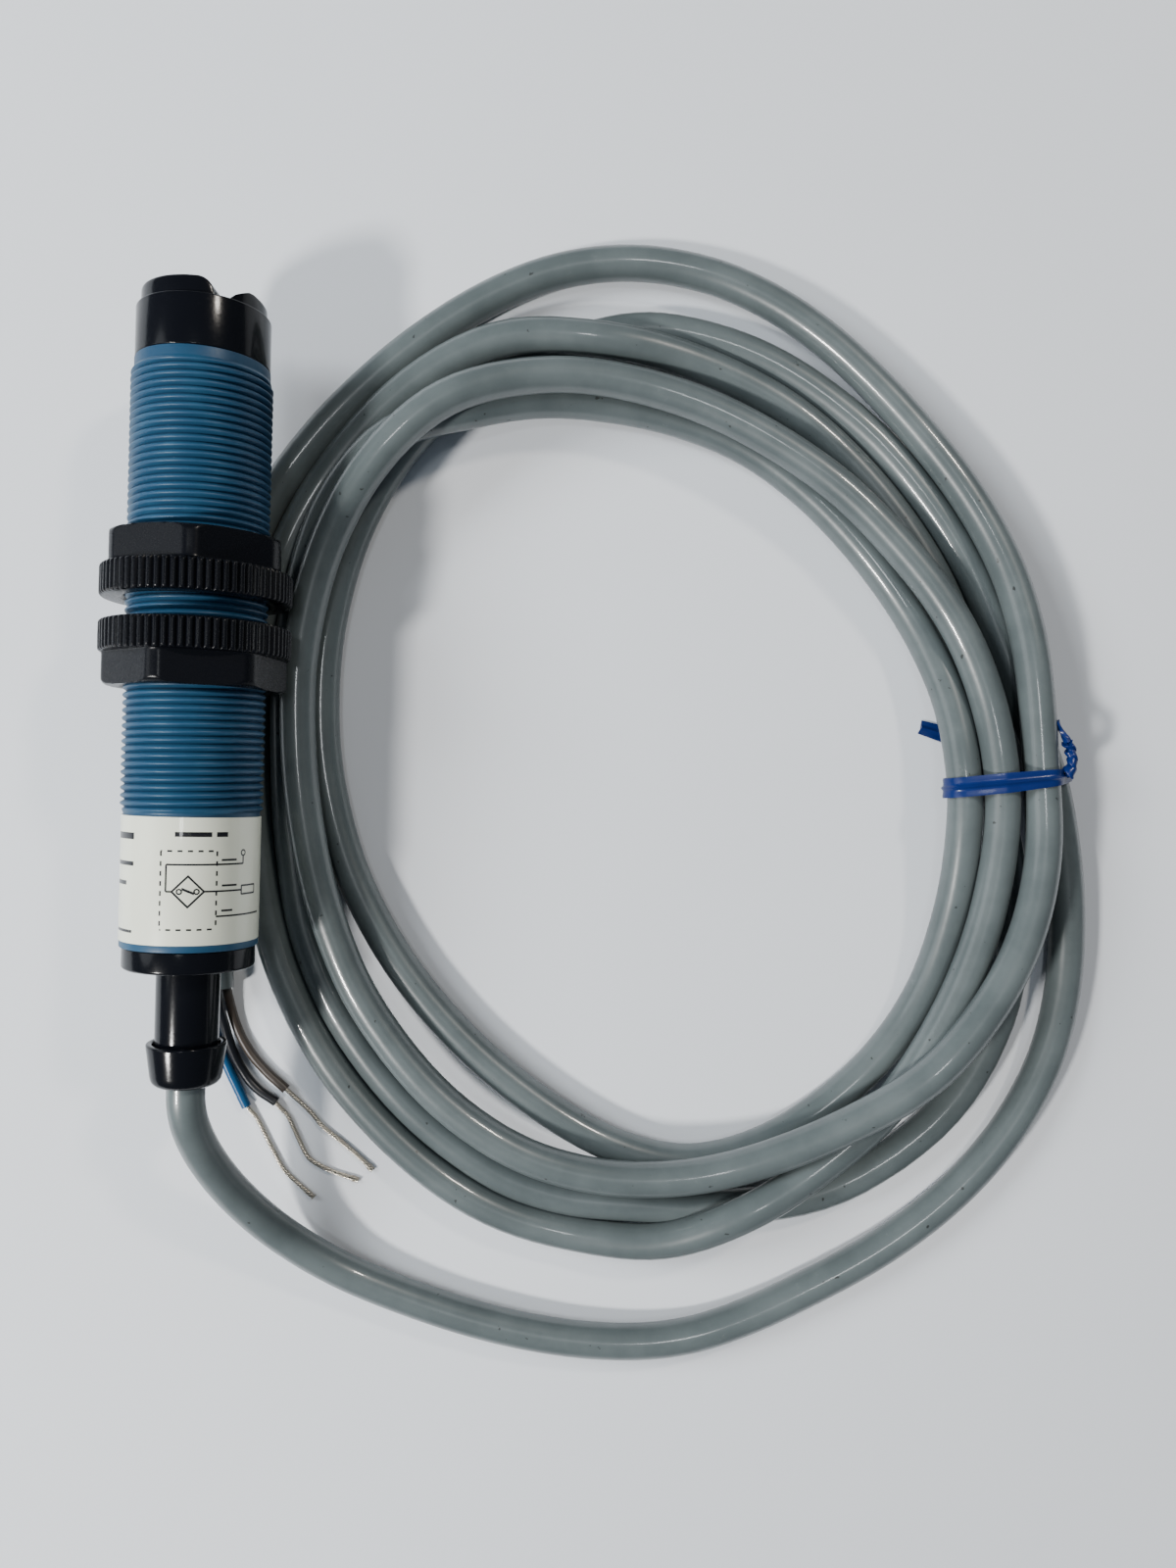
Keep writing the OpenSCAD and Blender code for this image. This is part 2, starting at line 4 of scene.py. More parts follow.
import bmesh
import bpy
import numpy as np
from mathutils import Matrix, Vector, geometry


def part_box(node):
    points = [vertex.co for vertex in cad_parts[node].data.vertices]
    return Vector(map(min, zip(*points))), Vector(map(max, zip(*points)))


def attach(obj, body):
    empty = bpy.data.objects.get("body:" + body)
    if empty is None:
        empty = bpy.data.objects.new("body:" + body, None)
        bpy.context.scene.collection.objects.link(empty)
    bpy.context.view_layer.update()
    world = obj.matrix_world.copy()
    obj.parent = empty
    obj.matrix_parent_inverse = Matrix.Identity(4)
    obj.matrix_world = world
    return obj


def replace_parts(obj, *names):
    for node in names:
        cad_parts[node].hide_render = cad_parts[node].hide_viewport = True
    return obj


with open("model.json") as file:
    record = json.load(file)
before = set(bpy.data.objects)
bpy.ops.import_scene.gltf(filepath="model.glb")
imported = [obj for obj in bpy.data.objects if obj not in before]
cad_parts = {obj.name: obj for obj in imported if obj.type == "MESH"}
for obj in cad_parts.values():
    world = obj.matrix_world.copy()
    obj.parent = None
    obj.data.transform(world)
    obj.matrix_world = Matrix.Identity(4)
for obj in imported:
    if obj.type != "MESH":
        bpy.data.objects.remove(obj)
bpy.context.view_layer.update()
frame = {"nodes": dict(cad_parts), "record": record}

scene = bpy.context.scene
mm = 0.001
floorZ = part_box("cable_coil")[0].z
print("frame loaded,", len(frame["nodes"]), "nodes")


# camera, straight down over the coil
cameraSet = {"place": (0.05243, -0.0109, 0.1505), "turn": 1.44, "lens": 26.0}

cameraData = bpy.data.cameras.new("camera")
cameraData.sensor_width = 36
cameraData.lens = cameraSet["lens"]
cameraData.clip_start = 0.01
camera = bpy.data.objects.new("camera", cameraData)
camera.location = cameraSet["place"]
camera.rotation_euler = (0, 0, math.radians(cameraSet["turn"]))
scene.collection.objects.link(camera)
scene.camera = camera


# shader maths as plain expressions
class Wire:
    # an output socket that adds Math nodes as it is used in an expression
    def __init__(self, paint, socket):
        self.paint = paint
        self.socket = socket

    def maths(self, operation, *others):
        return self.paint.node("ShaderNodeMath", {"operation": operation}, self, *others)

    def __add__(self, other):
        return self.maths("ADD", other)

    def __radd__(self, other):
        return self.maths("ADD", other)

    def __sub__(self, other):
        return self.maths("SUBTRACT", other)

    def __rsub__(self, other):
        return self.paint.node("ShaderNodeMath", {"operation": "SUBTRACT"}, other, self)

    def __mul__(self, other):
        return self.maths("MULTIPLY", other)

    def __rmul__(self, other):
        return self.maths("MULTIPLY", other)

    def __truediv__(self, other):
        return self.maths("DIVIDE", other)

    def __lt__(self, other):
        return self.maths("LESS_THAN", other)

    def __gt__(self, other):
        return self.maths("GREATER_THAN", other)

    def __abs__(self):
        return self.maths("ABSOLUTE")

    def bigger(self, other):
        return self.maths("MAXIMUM", other)

    def wave(self):
        return self.maths("SINE")

    def root(self):
        return self.maths("SQRT")

    def repeat(self):
        return self.maths("FRACT")


class Paint:
    # one material with its shader and the few nodes that its look needs
    def __init__(self, name):
        self.material = bpy.data.materials.new(name)
        self.material.use_nodes = True
        self.tree = self.material.node_tree
        self.shader = self.tree.nodes["Principled BSDF"]
        self.place = self.node("ShaderNodeTexCoord", {}, output="Object")

    def node(self, kind, settings, *values, output=0, sockets=None):
        # values fill the first sockets in order, sockets the ones that it names or numbers
        made = self.tree.nodes.new(kind)
        for key, value in settings.items():
            setattr(made, key, value)
        for key, value in [*enumerate(values), *(sockets or {}).items()]:
            self.plug(made.inputs[key], value)
        return Wire(self, made.outputs[output])

    def plug(self, socket, value):
        if isinstance(value, Wire):
            self.tree.links.new(value.socket, socket)
        elif hasattr(value, "__len__") and len(value) == 3 and len(socket.default_value) == 4:
            socket.default_value = (*value, 1)
        else:
            socket.default_value = value

    def set(self, **values):
        names = {"colour": "Base Color", "roughness": "Roughness", "metallic": "Metallic",
                 "coat": "Coat Weight", "coatRoughness": "Coat Roughness", "normal": "Normal",
                 "transmission": "Transmission Weight", "ior": "IOR", "specular": "Specular IOR Level"}
        for key, value in values.items():
            self.plug(self.shader.inputs[names[key]], value)
        return self.material

    def noise(self, size, detail=4, roughness=0.5, where=None):
        # grains of about that size in metres
        return self.node("ShaderNodeTexNoise", {}, output="Fac",
                         sockets={"Vector": where or self.place, "Scale": 1 / size, "Detail": detail,
                                  "Roughness": roughness})

    def mixColour(self, share, first, second):
        return self.node("ShaderNodeMix", {"data_type": "RGBA"}, output=2,
                         sockets={0: share, 6: first, 7: second})

    def stretch(self, x, y, z):
        return self.node("ShaderNodeMapping", {}, output="Vector",
                         sockets={"Vector": self.place, "Scale": (x, y, z)})

    def steps(self, value, low, high):
        # 0 below low, 1 above high, smooth between
        return self.node("ShaderNodeMapRange", {"interpolation_type": "SMOOTHSTEP"}, output="Result",
                         sockets={"Value": value, "From Min": low, "From Max": high})

    def bump(self, height, strength, distance):
        return self.node("ShaderNodeBump", {}, output="Normal",
                         sockets={"Height": height, "Strength": strength, "Distance": distance})

    def parts(self):
        return [self.node("ShaderNodeSeparateXYZ", {}, self.place, output=i) for i in range(3)]


def plasticPaint(name, colour, tone, roughness, specular=0.3, coat=0.0, scuffed=0.3):
    # moulded plastic with cloudy tone, fine grain and pale scuffs where it has been handled
    paint = Paint(name)
    cloud = paint.noise(0.006, 5)
    fine = paint.noise(0.0004, 3, 0.6)
    scuff = paint.steps(paint.noise(0.0013, 6, 0.72), 0.62, 0.74)
    worn = paint.mixColour(cloud, colour, tone)
    return paint.set(colour=paint.mixColour(scuff * scuffed, worn, [min(1, c * 1.5 + 0.012) for c in tone]),
                     roughness=fine * 0.10 + (roughness - 0.05) + scuff * 0.10,
                     specular=specular, coat=coat, coatRoughness=0.08,
                     normal=paint.bump(fine, 0.35, 0.00002))


def barrelPaint():
    # moulded plastic with painted shade in the thread's roots, darker there than on the crests
    look = {"crest": (0.013, 0.054, 0.108), "root": (0.006, 0.027, 0.060), "worn": (0.026, 0.086, 0.150),
            "scratch": (0.20, 0.30, 0.36)}
    paint = Paint("barrel blue")
    x, y, z = paint.parts()
    height = paint.steps((x * x + z * z).root(), 0.00844, 0.00872)
    cloud = paint.noise(0.004, 5)
    fine = paint.noise(0.00035, 4, 0.6)
    speck = paint.steps(paint.noise(0.0006, 3, 0.6), 0.68, 0.74)
    patch = paint.steps(paint.noise(0.012, 1), 0.52, 0.60)
    nick = paint.steps(paint.noise(0.0022, 8, 0.8), 0.70, 0.74) * patch
    # painted shade: the roots take a darker colour than the crests
    base = paint.mixColour(height, look["root"], look["crest"])
    base = paint.mixColour(paint.steps(cloud, 0.45, 0.8) * 0.5 * height, base, look["worn"])
    base = paint.mixColour(speck * 0.4 * height, base, look["worn"])
    return paint.set(colour=paint.mixColour(nick * 0.6 * height, base, look["scratch"]),
                     roughness=0.40 + fine * 0.14 - height * 0.06, specular=0.32,
                     normal=paint.bump(fine, 0.3, 0.00002))


def cablePaint():
    # flexible jacket with faint lengthwise drag marks, handling marks and specks
    look = {"light": (0.098, 0.118, 0.120), "dark": (0.070, 0.086, 0.088), "speck": (0.012, 0.012, 0.011),
            "chalk": (0.20, 0.225, 0.225)}
    paint = Paint("cable grey")
    cloud = paint.noise(0.011, 5, 0.6)
    fine = paint.noise(0.0006, 4, 0.7)
    ripple = paint.noise(0.0021, 2, 0.5)
    speck = paint.steps(paint.noise(0.0011, 2, 0.4), 0.745, 0.775)
    chalk = paint.steps(paint.noise(0.0024, 7, 0.78), 0.62, 0.74)
    base = paint.mixColour(paint.steps(cloud, 0.3, 0.7), look["light"], look["dark"])
    base = paint.mixColour(chalk * 0.28, base, look["chalk"])
    return paint.set(colour=paint.mixColour(speck * 0.8, base, look["speck"]),
                     roughness=0.27 + fine * 0.12 + chalk * 0.12, specular=0.4,
                     coat=0.34 - chalk * 0.2, coatRoughness=0.06,
                     normal=paint.bump(fine + ripple * 1.5, 0.22, 0.00003))


def metalPaint(name, colour, roughness):
    paint = Paint(name)
    fine = paint.noise(0.0003, 4, 0.6)
    dull = paint.steps(paint.noise(0.0015, 4), 0.45, 0.7)
    return paint.set(colour=paint.mixColour(dull * 0.5, colour, [c * 0.62 for c in colour]), metallic=1.0,
                     roughness=roughness + fine * 0.15 + dull * 0.1, normal=paint.bump(fine, 0.3, 0.00001))


def boardPaint():
    # solder resist with copper tracks showing through it
    paint = Paint("board")
    x, y, z = paint.parts()
    track = paint.steps(paint.noise(0.002, 0, where=paint.stretch(1, 0.25, 1)), 0.5, 0.54)
    pad = (abs((x * 900).wave()) > 0.93) * (abs((y * 700).wave()) > 0.93)
    base = paint.mixColour(track, (0.006, 0.07, 0.03), (0.012, 0.12, 0.055))
    return paint.set(colour=paint.mixColour(pad, base, (0.5, 0.48, 0.42)), roughness=0.3 + track * 0.1,
                     metallic=pad, normal=paint.bump(track, 0.4, 0.00003))


def clearPaint(name, colour, roughness=0.04, transmission=0.7):
    paint = Paint(name)
    swirl = paint.noise(0.002, 3)
    return paint.set(colour=paint.mixColour(swirl, colour, [c * 0.8 for c in colour]),
                     roughness=roughness + swirl * 0.02, transmission=transmission, ior=1.5, coat=0.4,
                     normal=paint.bump(swirl, 0.05, 0.00001))


def labelPaint():
    # printed film: a dashed box, a switch in a diamond, its three lines and plain bars where words would be
    label = {"film": (0.71, 0.73, 0.61), "ink": (0.004, 0.004, 0.006), "line": 0.24, "radius": 8.8,
             "left": -0.8, "right": 6.1, "top": -20.6, "bottom": -30.5, "dash": 1.25,
             "diamond": (2.6, -25.7), "reach": 1.95, "contact": (1.05, 0.30),
             "lever": (0.42, 0.05, 0.17, 0.75),
             # each line from x to x at a height, then each upright at x from height to height
             "across": [(-0.1, 0.65, -25.7), (-0.1, 10.0, -22.3), (4.55, 9.8, -25.7), (6.1, 14, -28.9),
                        (9.8, 12.6, -25.15), (9.8, 12.6, -26.25)],
             "upright": [(-0.1, -25.7, -22.3), (10.0, -22.3, -21.3), (9.8, -26.3, -25.1),
                         (12.6, -26.3, -25.1)],
             "terminal": (10.0, -20.9, 0.35),
             # each bar's middle, width and height
             "bars": [(3.15, -18.5, 4.5, 0.62), (6.75, -18.5, 1.5, 0.62), (-7.4, -18.9, 4.8, 0.85),
                      (-7.4, -22.4, 4.8, 0.55), (-8.2, -24.9, 3.4, 0.55), (-7.4, -31.0, 4.6, 0.38),
                      (7.8, -21.75, 2.2, 0.27), (7.9, -25.0, 2.2, 0.27), (7.6, -28.2, 1.6, 0.27)]}
    paint = Paint("label film")
    x, y, z = paint.parts()
    along = y * 1000.0
    around = paint.node("ShaderNodeMath", {"operation": "ARCTAN2"}, x, z) * label["radius"]
    line = label["line"]

    def block(middleX, middleY, wide, high):
        return (abs(around - middleX) < wide / 2) * (abs(along - middleY) < high / 2)

    def ring(middleX, middleY, r):
        right, up = around - middleX, along - middleY
        return abs((right * right + up * up).root() - r) < line * 0.42

    midX, midY = (label["left"] + label["right"]) / 2, (label["top"] + label["bottom"]) / 2
    wide, high = label["right"] - label["left"], label["top"] - label["bottom"]
    dashAcross = (around / label["dash"]).repeat() < 0.5
    dashUp = (along / label["dash"]).repeat() < 0.5
    marks = block(midX, label["top"], wide, line) * dashAcross
    marks = marks.bigger(block(midX, label["bottom"], wide, line) * dashAcross)
    marks = marks.bigger(block(label["left"], midY, line, high) * dashUp)
    marks = marks.bigger(block(label["right"], midY, line, high) * dashUp)
    dx, dy = label["diamond"]
    reach = abs(around - dx) + abs(along - dy)
    marks = marks.bigger(abs(reach - label["reach"]) < line * 0.75)
    apart, r = label["contact"]
    marks = marks.bigger(ring(dx - apart, dy, r)).bigger(ring(dx + apart, dy, r))
    slope, lift, thick, half = label["lever"]
    lever = abs((along - dy) + (around - dx) * slope - lift) < thick
    marks = marks.bigger(lever * (abs(around - dx) < half))
    for x0, x1, height in label["across"]:
        marks = marks.bigger(block((x0 + x1) / 2, height, x1 - x0, line))
    for place, y0, y1 in label["upright"]:
        marks = marks.bigger(block(place, (y0 + y1) / 2, line, abs(y1 - y0)))
    marks = marks.bigger(ring(*label["terminal"]))
    for bar in label["bars"]:
        marks = marks.bigger(block(*bar))
    worn = paint.steps(paint.noise(0.0008, 5, 0.7), 0.30, 0.42)
    cloud = paint.noise(0.007, 4)
    film = paint.mixColour(cloud, label["film"], [c * 0.9 for c in label["film"]])
    fine = paint.noise(0.0005, 3)
    return paint.set(colour=paint.mixColour(marks * (worn * 0.15 + 0.85), film, label["ink"]),
                     roughness=0.30 + fine * 0.08, specular=0.3, coat=0.35, coatRoughness=0.05,
                     normal=paint.bump(cloud, 0.15, 0.00006))


def ribbonPaint():
    paint = Paint("tie ribbon")
    cloud = paint.noise(0.003, 4)
    fine = paint.noise(0.0003, 3)
    return paint.set(colour=paint.mixColour(cloud, (0.0014, 0.0095, 0.075), (0.0022, 0.016, 0.110)),
                     roughness=0.27 + fine * 0.1, specular=0.34, coat=0.06, coatRoughness=0.08,
                     normal=paint.bump(cloud, 0.4, 0.0001))


finishes = {
    "barrel_blue": barrelPaint(),
    "gloss_black": plasticPaint("gloss black", (0.0020, 0.0024, 0.0040), (0.0032, 0.0036, 0.0054), 0.17,
                                specular=0.20, coat=0.05, scuffed=0.08),
    "nut_black": plasticPaint("nut black", (0.0020, 0.0024, 0.0040), (0.0032, 0.0036, 0.0054), 0.28,
                              specular=0.17, scuffed=0.10),
    "lens": clearPaint("lens", (0.55, 0.50, 0.46)),
    "seal_rubber": plasticPaint("seal rubber", (0.008, 0.008, 0.008), (0.014, 0.014, 0.014), 0.6),
    "inner_black": plasticPaint("inner black", (0.008, 0.008, 0.010), (0.014, 0.014, 0.016), 0.55),
    "led_resin": clearPaint("lamp resin", (0.6, 0.06, 0.04), 0.1, 0.5),
    "chip_black": plasticPaint("chip resin", (0.012, 0.012, 0.013), (0.025, 0.025, 0.027), 0.5),
    "chip_tan": plasticPaint("chip ceramic", (0.30, 0.20, 0.11), (0.36, 0.26, 0.16), 0.45),
    "board": boardPaint(),
    "tinned_steel": metalPaint("tinned sheet", (0.60, 0.60, 0.58), 0.28),
    "tinned_copper": metalPaint("tinned strands", (0.52, 0.48, 0.41), 0.2),
    "can": metalPaint("can", (0.5, 0.5, 0.53), 0.3),
    "label_film": labelPaint(),
    "potting": clearPaint("potting", (0.10, 0.06, 0.02), 0.12, 0.2),
    "cable_grey": cablePaint(),
    "wire_brown": plasticPaint("wire brown", (0.034, 0.026, 0.021), (0.052, 0.042, 0.035), 0.36,
                               scuffed=0.15),
    "wire_black": plasticPaint("wire black", (0.004, 0.0046, 0.0066), (0.008, 0.009, 0.012), 0.30,
                               scuffed=0.1),
    "wire_blue": plasticPaint("wire blue", (0.003, 0.048, 0.130), (0.005, 0.066, 0.165), 0.34, scuffed=0.08),
    "tie_blue": ribbonPaint(),
}
slotOf = {part["node"]: part["material_slot"] for part in frame["record"]["subparts"]}
print("finishes made,", len(finishes))


def wear(piece, slotName, body="sensor"):
    piece.data.materials.clear()
    piece.data.materials.append(finishes[slotName])
    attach(piece, body)
    return piece


def meshPiece(name, points, faces, slotName, body="sensor", sharp=38, weld=0.000002):
    mesh = bpy.data.meshes.new(name)
    mesh.from_pydata([tuple(p) for p in points], [], faces)
    piece = bpy.data.objects.new(name, mesh)
    scene.collection.objects.link(piece)
    work = bmesh.new()
    work.from_mesh(mesh)
    bmesh.ops.remove_doubles(work, verts=work.verts, dist=weld)
    bmesh.ops.recalc_face_normals(work, faces=work.faces)
    work.to_mesh(mesh)
    work.free()
    mesh.shade_smooth()
    mesh.set_sharp_from_angle(angle=math.radians(sharp))
    return wear(piece, slotName, body)


def loftFaces(rowCount, sides, closeRows):
    # quads between rings of points, the last ring joined to the first if closeRows
    faces = []
    for i in range(rowCount if closeRows else rowCount - 1):
        a, b = i * sides, (i + 1) % rowCount * sides
        faces += [(a + j, a + (j + 1) % sides, b + (j + 1) % sides, b + j) for j in range(sides)]
    return faces


def rounded(corners, radius, steps=4):
    # a profile whose inner corners are arcs, each no longer than half of its shorter side
    line = [np.array(p, float) for p in corners]
    made = [line[0]]
    for before, corner, after in zip(line, line[1:], line[2:]):
        there, back = before - corner, after - corner
        cut = min(radius, np.linalg.norm(there) * 0.48, np.linalg.norm(back) * 0.48)
        p, q = corner + there / np.linalg.norm(there) * cut, corner + back / np.linalg.norm(back) * cut
        for t in np.linspace(0, 1, steps + 1):
            made.append((1 - t) ** 2 * p + 2 * t * (1 - t) * corner + t ** 2 * q)
    return made + [line[-1]]


def turned(name, profile, slotName, sides=128):
    # a closed profile of (radius, y) in mm, turned about the sensor's axis
    angle = np.linspace(0, 2 * math.pi, sides, endpoint=False)
    points = [(r * math.sin(a) * mm, y * mm, r * math.cos(a) * mm) for r, y in profile for a in angle]
    return meshPiece(name, points, loftFaces(len(profile), sides, True), slotName)


def boxMm(node):
    low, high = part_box(node)
    return low * 1000, high * 1000


# cable: one length from the collar, round the coil and under the barrel to its cut end
cable = {
    "diameter": 0.005,
    "middle": (0.0605, -0.0093), "long": 0.060, "short": 0.0445, "turn": 122,
    "exit": [
        (0, -0.05205, 0), (0, -0.055, -0.0002), (0.0004, -0.0585, -0.0012), (0.0017, -0.0635, -0.0038),
        (0.0046, -0.070, -0.008), (0.0095, -0.0765, -0.012), (0.0175, -0.0825, -0.0144),
        (0.0275, -0.0865, -0.015), (0.039, -0.090, -0.015), (0.050, -0.092, -0.015),
        (0.0605, -0.0925, -0.015), (0.069, -0.0915, -0.015), (0.077, -0.0885, -0.015),
        (0.085, -0.0845, -0.015), (0.096, -0.0785, -0.015), (0.1045, -0.072, -0.015),
        (0.1115, -0.065, -0.015), (0.117, -0.057, -0.015), (0.121, -0.0485, -0.015),
        (0.123, -0.038, -0.015), (0.123, -0.027, -0.015)],
    "tail": [
        (0.115, 0.009, -0.011), (0.1133, 0.017, -0.0114), (0.110, 0.025, -0.0118), (0.105, 0.033, -0.0122),
        (0.0988, 0.041, -0.0127), (0.092, 0.0485, -0.0132), (0.085, 0.055, -0.0137),
        (0.077, 0.0604, -0.0142), (0.068, 0.0643, -0.0147), (0.057, 0.066, -0.015), (0.046, 0.0644, -0.015),
        (0.036, 0.060, -0.015), (0.0265, 0.0536, -0.015), (0.018, 0.046, -0.015), (0.011, 0.038, -0.015),
        (0.005, 0.0285, -0.015), (0.001, 0.018, -0.015), (-0.0012, 0.007, -0.015), (-0.002, -0.005, -0.015),
        (-0.0021, -0.017, -0.015), (-0.002, -0.0295, -0.015), (-0.0011, -0.042, -0.015)],
    # for each turn: compass angle, mm outside the oval, and layer of cable that it lies in
    "turns": [
        [(-8, 12.8, 1), (2, 12.0, 1), (13, 10.4, 1), (24, 11.2, 1), (35, 12.4, 1), (46, 12.8, 1),
         (58, 13.4, 1), (72, 13.5, 1), (82, 12.6, 1), (92, 10.2, 1), (104, 6.4, 1), (116, 2.8, 1),
         (128, 0.4, 1), (142, -0.2, 1), (158, -0.6, 1), (175, -1.0, 1), (190, -0.2, 1), (204, 0.6, 1),
         (222, 1.0, 1), (240, 1.0, 1), (257, 1.2, 1), (268, 1.7, 1), (278, 1.6, 1), (289, -1.4, 1),
         (300, -4.4, 1), (312, -5.2, 1), (324, -4.8, 1.1), (338, -3.8, 1.5)],
        [(352, -2.4, 1.9), (362, -1.4, 1.9), (376, 0.6, 1.5), (390, 1.0, 1.1), (405, 1.0, 1), (420, 1.0, 1),
         (433, 0.9, 1), (444, -0.4, 1), (454, -1.3, 1), (466, -1.4, 1.1), (477, -0.8, 1.5), (488, 0.6, 1.7),
         (500, 2.2, 1.5), (512, 3.3, 1.1), (526, 4.0, 1), (540, 4.7, 1), (552, 7.4, 1), (566, 11.0, 1),
         (580, 12.6, 1), (596, 13.8, 1), (611, 14.4, 1), (620, 12.8, 1), (629, 10.0, 1), (641, 8.6, 1),
         (656, 8.4, 1), (674, 8.8, 1), (690, 8.4, 1), (706, 5.2, 1)],
        [(718, 2.8, 1), (731, 4.2, 1), (744, 6.0, 1), (758, 7.6, 1), (774, 8.8, 1), (789, 9.4, 1.2),
         (804, 8.5, 1.3), (816, 7.8, 1.4), (830, 7.1, 1.4), (844, 6.6, 1.3), (862, 6.2, 1.1), (880, 7.6, 1),
         (900, 9.6, 1), (917, 12.2, 1), (928, 15.4, 1), (944, 18.4, 1), (960, 18.8, 1), (972, 17.8, 1),
         (984, 14.8, 1), (994, 11.6, 1.2), (1004, 6.6, 1.5), (1014, 2.2, 1.9), (1028, -0.6, 2.0),
         (1042, -1.6, 2.0), (1056, -0.6, 2.0)],
        [(1070, 1.2, 2), (1081, 3.2, 2), (1094, 4.4, 2), (1107, 5.0, 2), (1120, 3.9, 2), (1138, 3.6, 2),
         (1158, 2.0, 2), (1174, 1.0, 2), (1186, 0.6, 2.3), (1200, 0.4, 2.6), (1212, -0.1, 2.4),
         (1226, 0.2, 2.1), (1242, 1.0, 2), (1256, 1.8, 2), (1272, 3.2, 2), (1286, 5.2, 2), (1300, 7.4, 2),
         (1318, 8.6, 2), (1332, 8.0, 2), (1344, 5.6, 2), (1356, 2.2, 2), (1366, -0.6, 2), (1380, -1.8, 2.2),
         (1394, -1.0, 2.8), (1406, 1.6, 2.8), (1418, 5.4, 2.5), (1430, 8.0, 2.2), (1441, 8.8, 2)],
    ],
    "tieAcross": -0.009, "tieLift": 0.0005, "tieReach": 0.006, "tieBeyond": 0.095,
    # the turns' spacing in diameters, and how much of each round goes to pushing, smoothing and staying put
    "spacing": 1.006, "push": 0.3, "smooth": 0.5, "stay": 0.02, "lastRounds": 25,
    # distance from the sensor's axis beside the nuts and beside the barrel, between these places along it
    "nutClear": 0.0150, "barrelClear": 0.0118, "nutsAlong": (-0.014, 0.040), "sensorAlong": (-0.037, 0.053),
    "underBarrel": -0.0145, "offFloor": 0.00005,
}


def ovalPoint(angle, lane, layer):
    a, turn = math.radians(angle), math.radians(cable["turn"])
    flat = math.hypot(cable["short"] * math.cos(a - turn), cable["long"] * math.sin(a - turn))
    r = cable["long"] * cable["short"] / flat + lane * mm
    return (cable["middle"][0] + r * math.cos(a), cable["middle"][1] + r * math.sin(a),
            floorZ + (layer - 0.5) * cable["diameter"])


def smoothLine(nodes, steps):
    # points on a smooth curve through the nodes, steps of them for each span
    p = np.array([2 * nodes[0] - nodes[1], *nodes, 2 * nodes[-1] - nodes[-2]])
    made = []
    for i in range(1, len(p) - 2):
        for t in np.arange(steps) / steps:
            a, b, c, d = p[i - 1:i + 3]
            made.append(0.5 * (2 * b + (c - a) * t + (2 * a - 5 * b + 4 * c - d) * t * t
                               + (3 * b - 3 * c + d - a) * t ** 3))
    return np.array([*made, p[-2]])


def settle(nodes, steps=5, rounds=120):
    # pushes the turns apart until they lie a diameter from each other, above the floor and beside the sensor
    line = smoothLine(nodes, steps)
    rest = line.copy()
    order, wide = np.arange(len(line)), cable["diameter"] * cable["spacing"]
    far = np.abs(order[:, None] - order[None, :]) > 3 * steps
    hold = np.minimum(order / (4 * steps), 1)[:, None]
    for i in range(rounds):
        gap = line[:, None, :] - line[None, :, :]
        away = np.linalg.norm(gap, axis=2)
        push = np.where(far & (away < wide), (wide - away) / np.maximum(away, 1e-6), 0)
        line = line + (gap * push[:, :, None]).sum(axis=1) * cable["push"] * hold
        if i < rounds - cable["lastRounds"]:
            soft = line.copy()
            soft[1:-1] = (line[:-2] + 2 * line[1:-1] + line[2:]) / 4
            line = line + (soft - line) * hold * cable["smooth"]
            line = line + (rest - line) * cable["stay"]
        y = line[:, 1]
        lift = cable["tieLift"] * np.exp(-((y - cable["tieAcross"]) / cable["tieReach"]) ** 2)
        lift = lift * (line[:, 0] > cable["tieBeyond"])
        line[:, 2] = np.maximum(line[:, 2], floorZ + cable["diameter"] / 2 + lift)
        besideNuts = (y > cable["nutsAlong"][0]) & (y < cable["nutsAlong"][1])
        clear = np.where(besideNuts, cable["nutClear"], cable["barrelClear"])
        past = (y < cable["sensorAlong"][0]) | (y > cable["sensorAlong"][1])
        clear = np.where(past | (hold[:, 0] < 1), 0, clear)
        out = np.maximum(np.hypot(line[:, 0], line[:, 2]), 1e-6)
        short = np.maximum(clear - out, 0)
        line[:, 0] += line[:, 0] / out * short * (line[:, 2] > cable["underBarrel"])
    return line[::steps]


route = [np.array(p) for p in cable["exit"]]
route += [np.array(ovalPoint(*station)) for turn in cable["turns"] for station in turn]
route += [np.array(p) for p in cable["tail"]]
laid = smoothLine(settle(route), 3)
laid[:, 2] = np.maximum(laid[:, 2], floorZ + cable["diameter"] / 2 + cable["offFloor"])


def curvePiece(name, lines, diameter, slotName, resolution, sides):
    curve = bpy.data.curves.new(name, "CURVE")
    curve.dimensions = "3D"
    curve.bevel_depth = diameter / 2
    curve.bevel_resolution = sides
    curve.resolution_u = resolution
    curve.use_fill_caps = True
    for line in lines:
        spline = curve.splines.new("BEZIER")
        spline.bezier_points.add(len(line) - 1)
        for knot, p in zip(spline.bezier_points, line):
            knot.co = p
            knot.handle_left_type = knot.handle_right_type = "AUTO"
    piece = bpy.data.objects.new(name, curve)
    scene.collection.objects.link(piece)
    return wear(piece, slotName)


cableCurve = curvePiece("cable", [laid], cable["diameter"], "cable_grey", 2, 10)
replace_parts(cableCurve, "cable_exit", "cable_coil", "cable_tail")
cableLength = float(np.linalg.norm(np.diff(smoothLine(laid, 8), axis=0), axis=1).sum())
print("cable laid,", round(cableLength, 4), "m long")


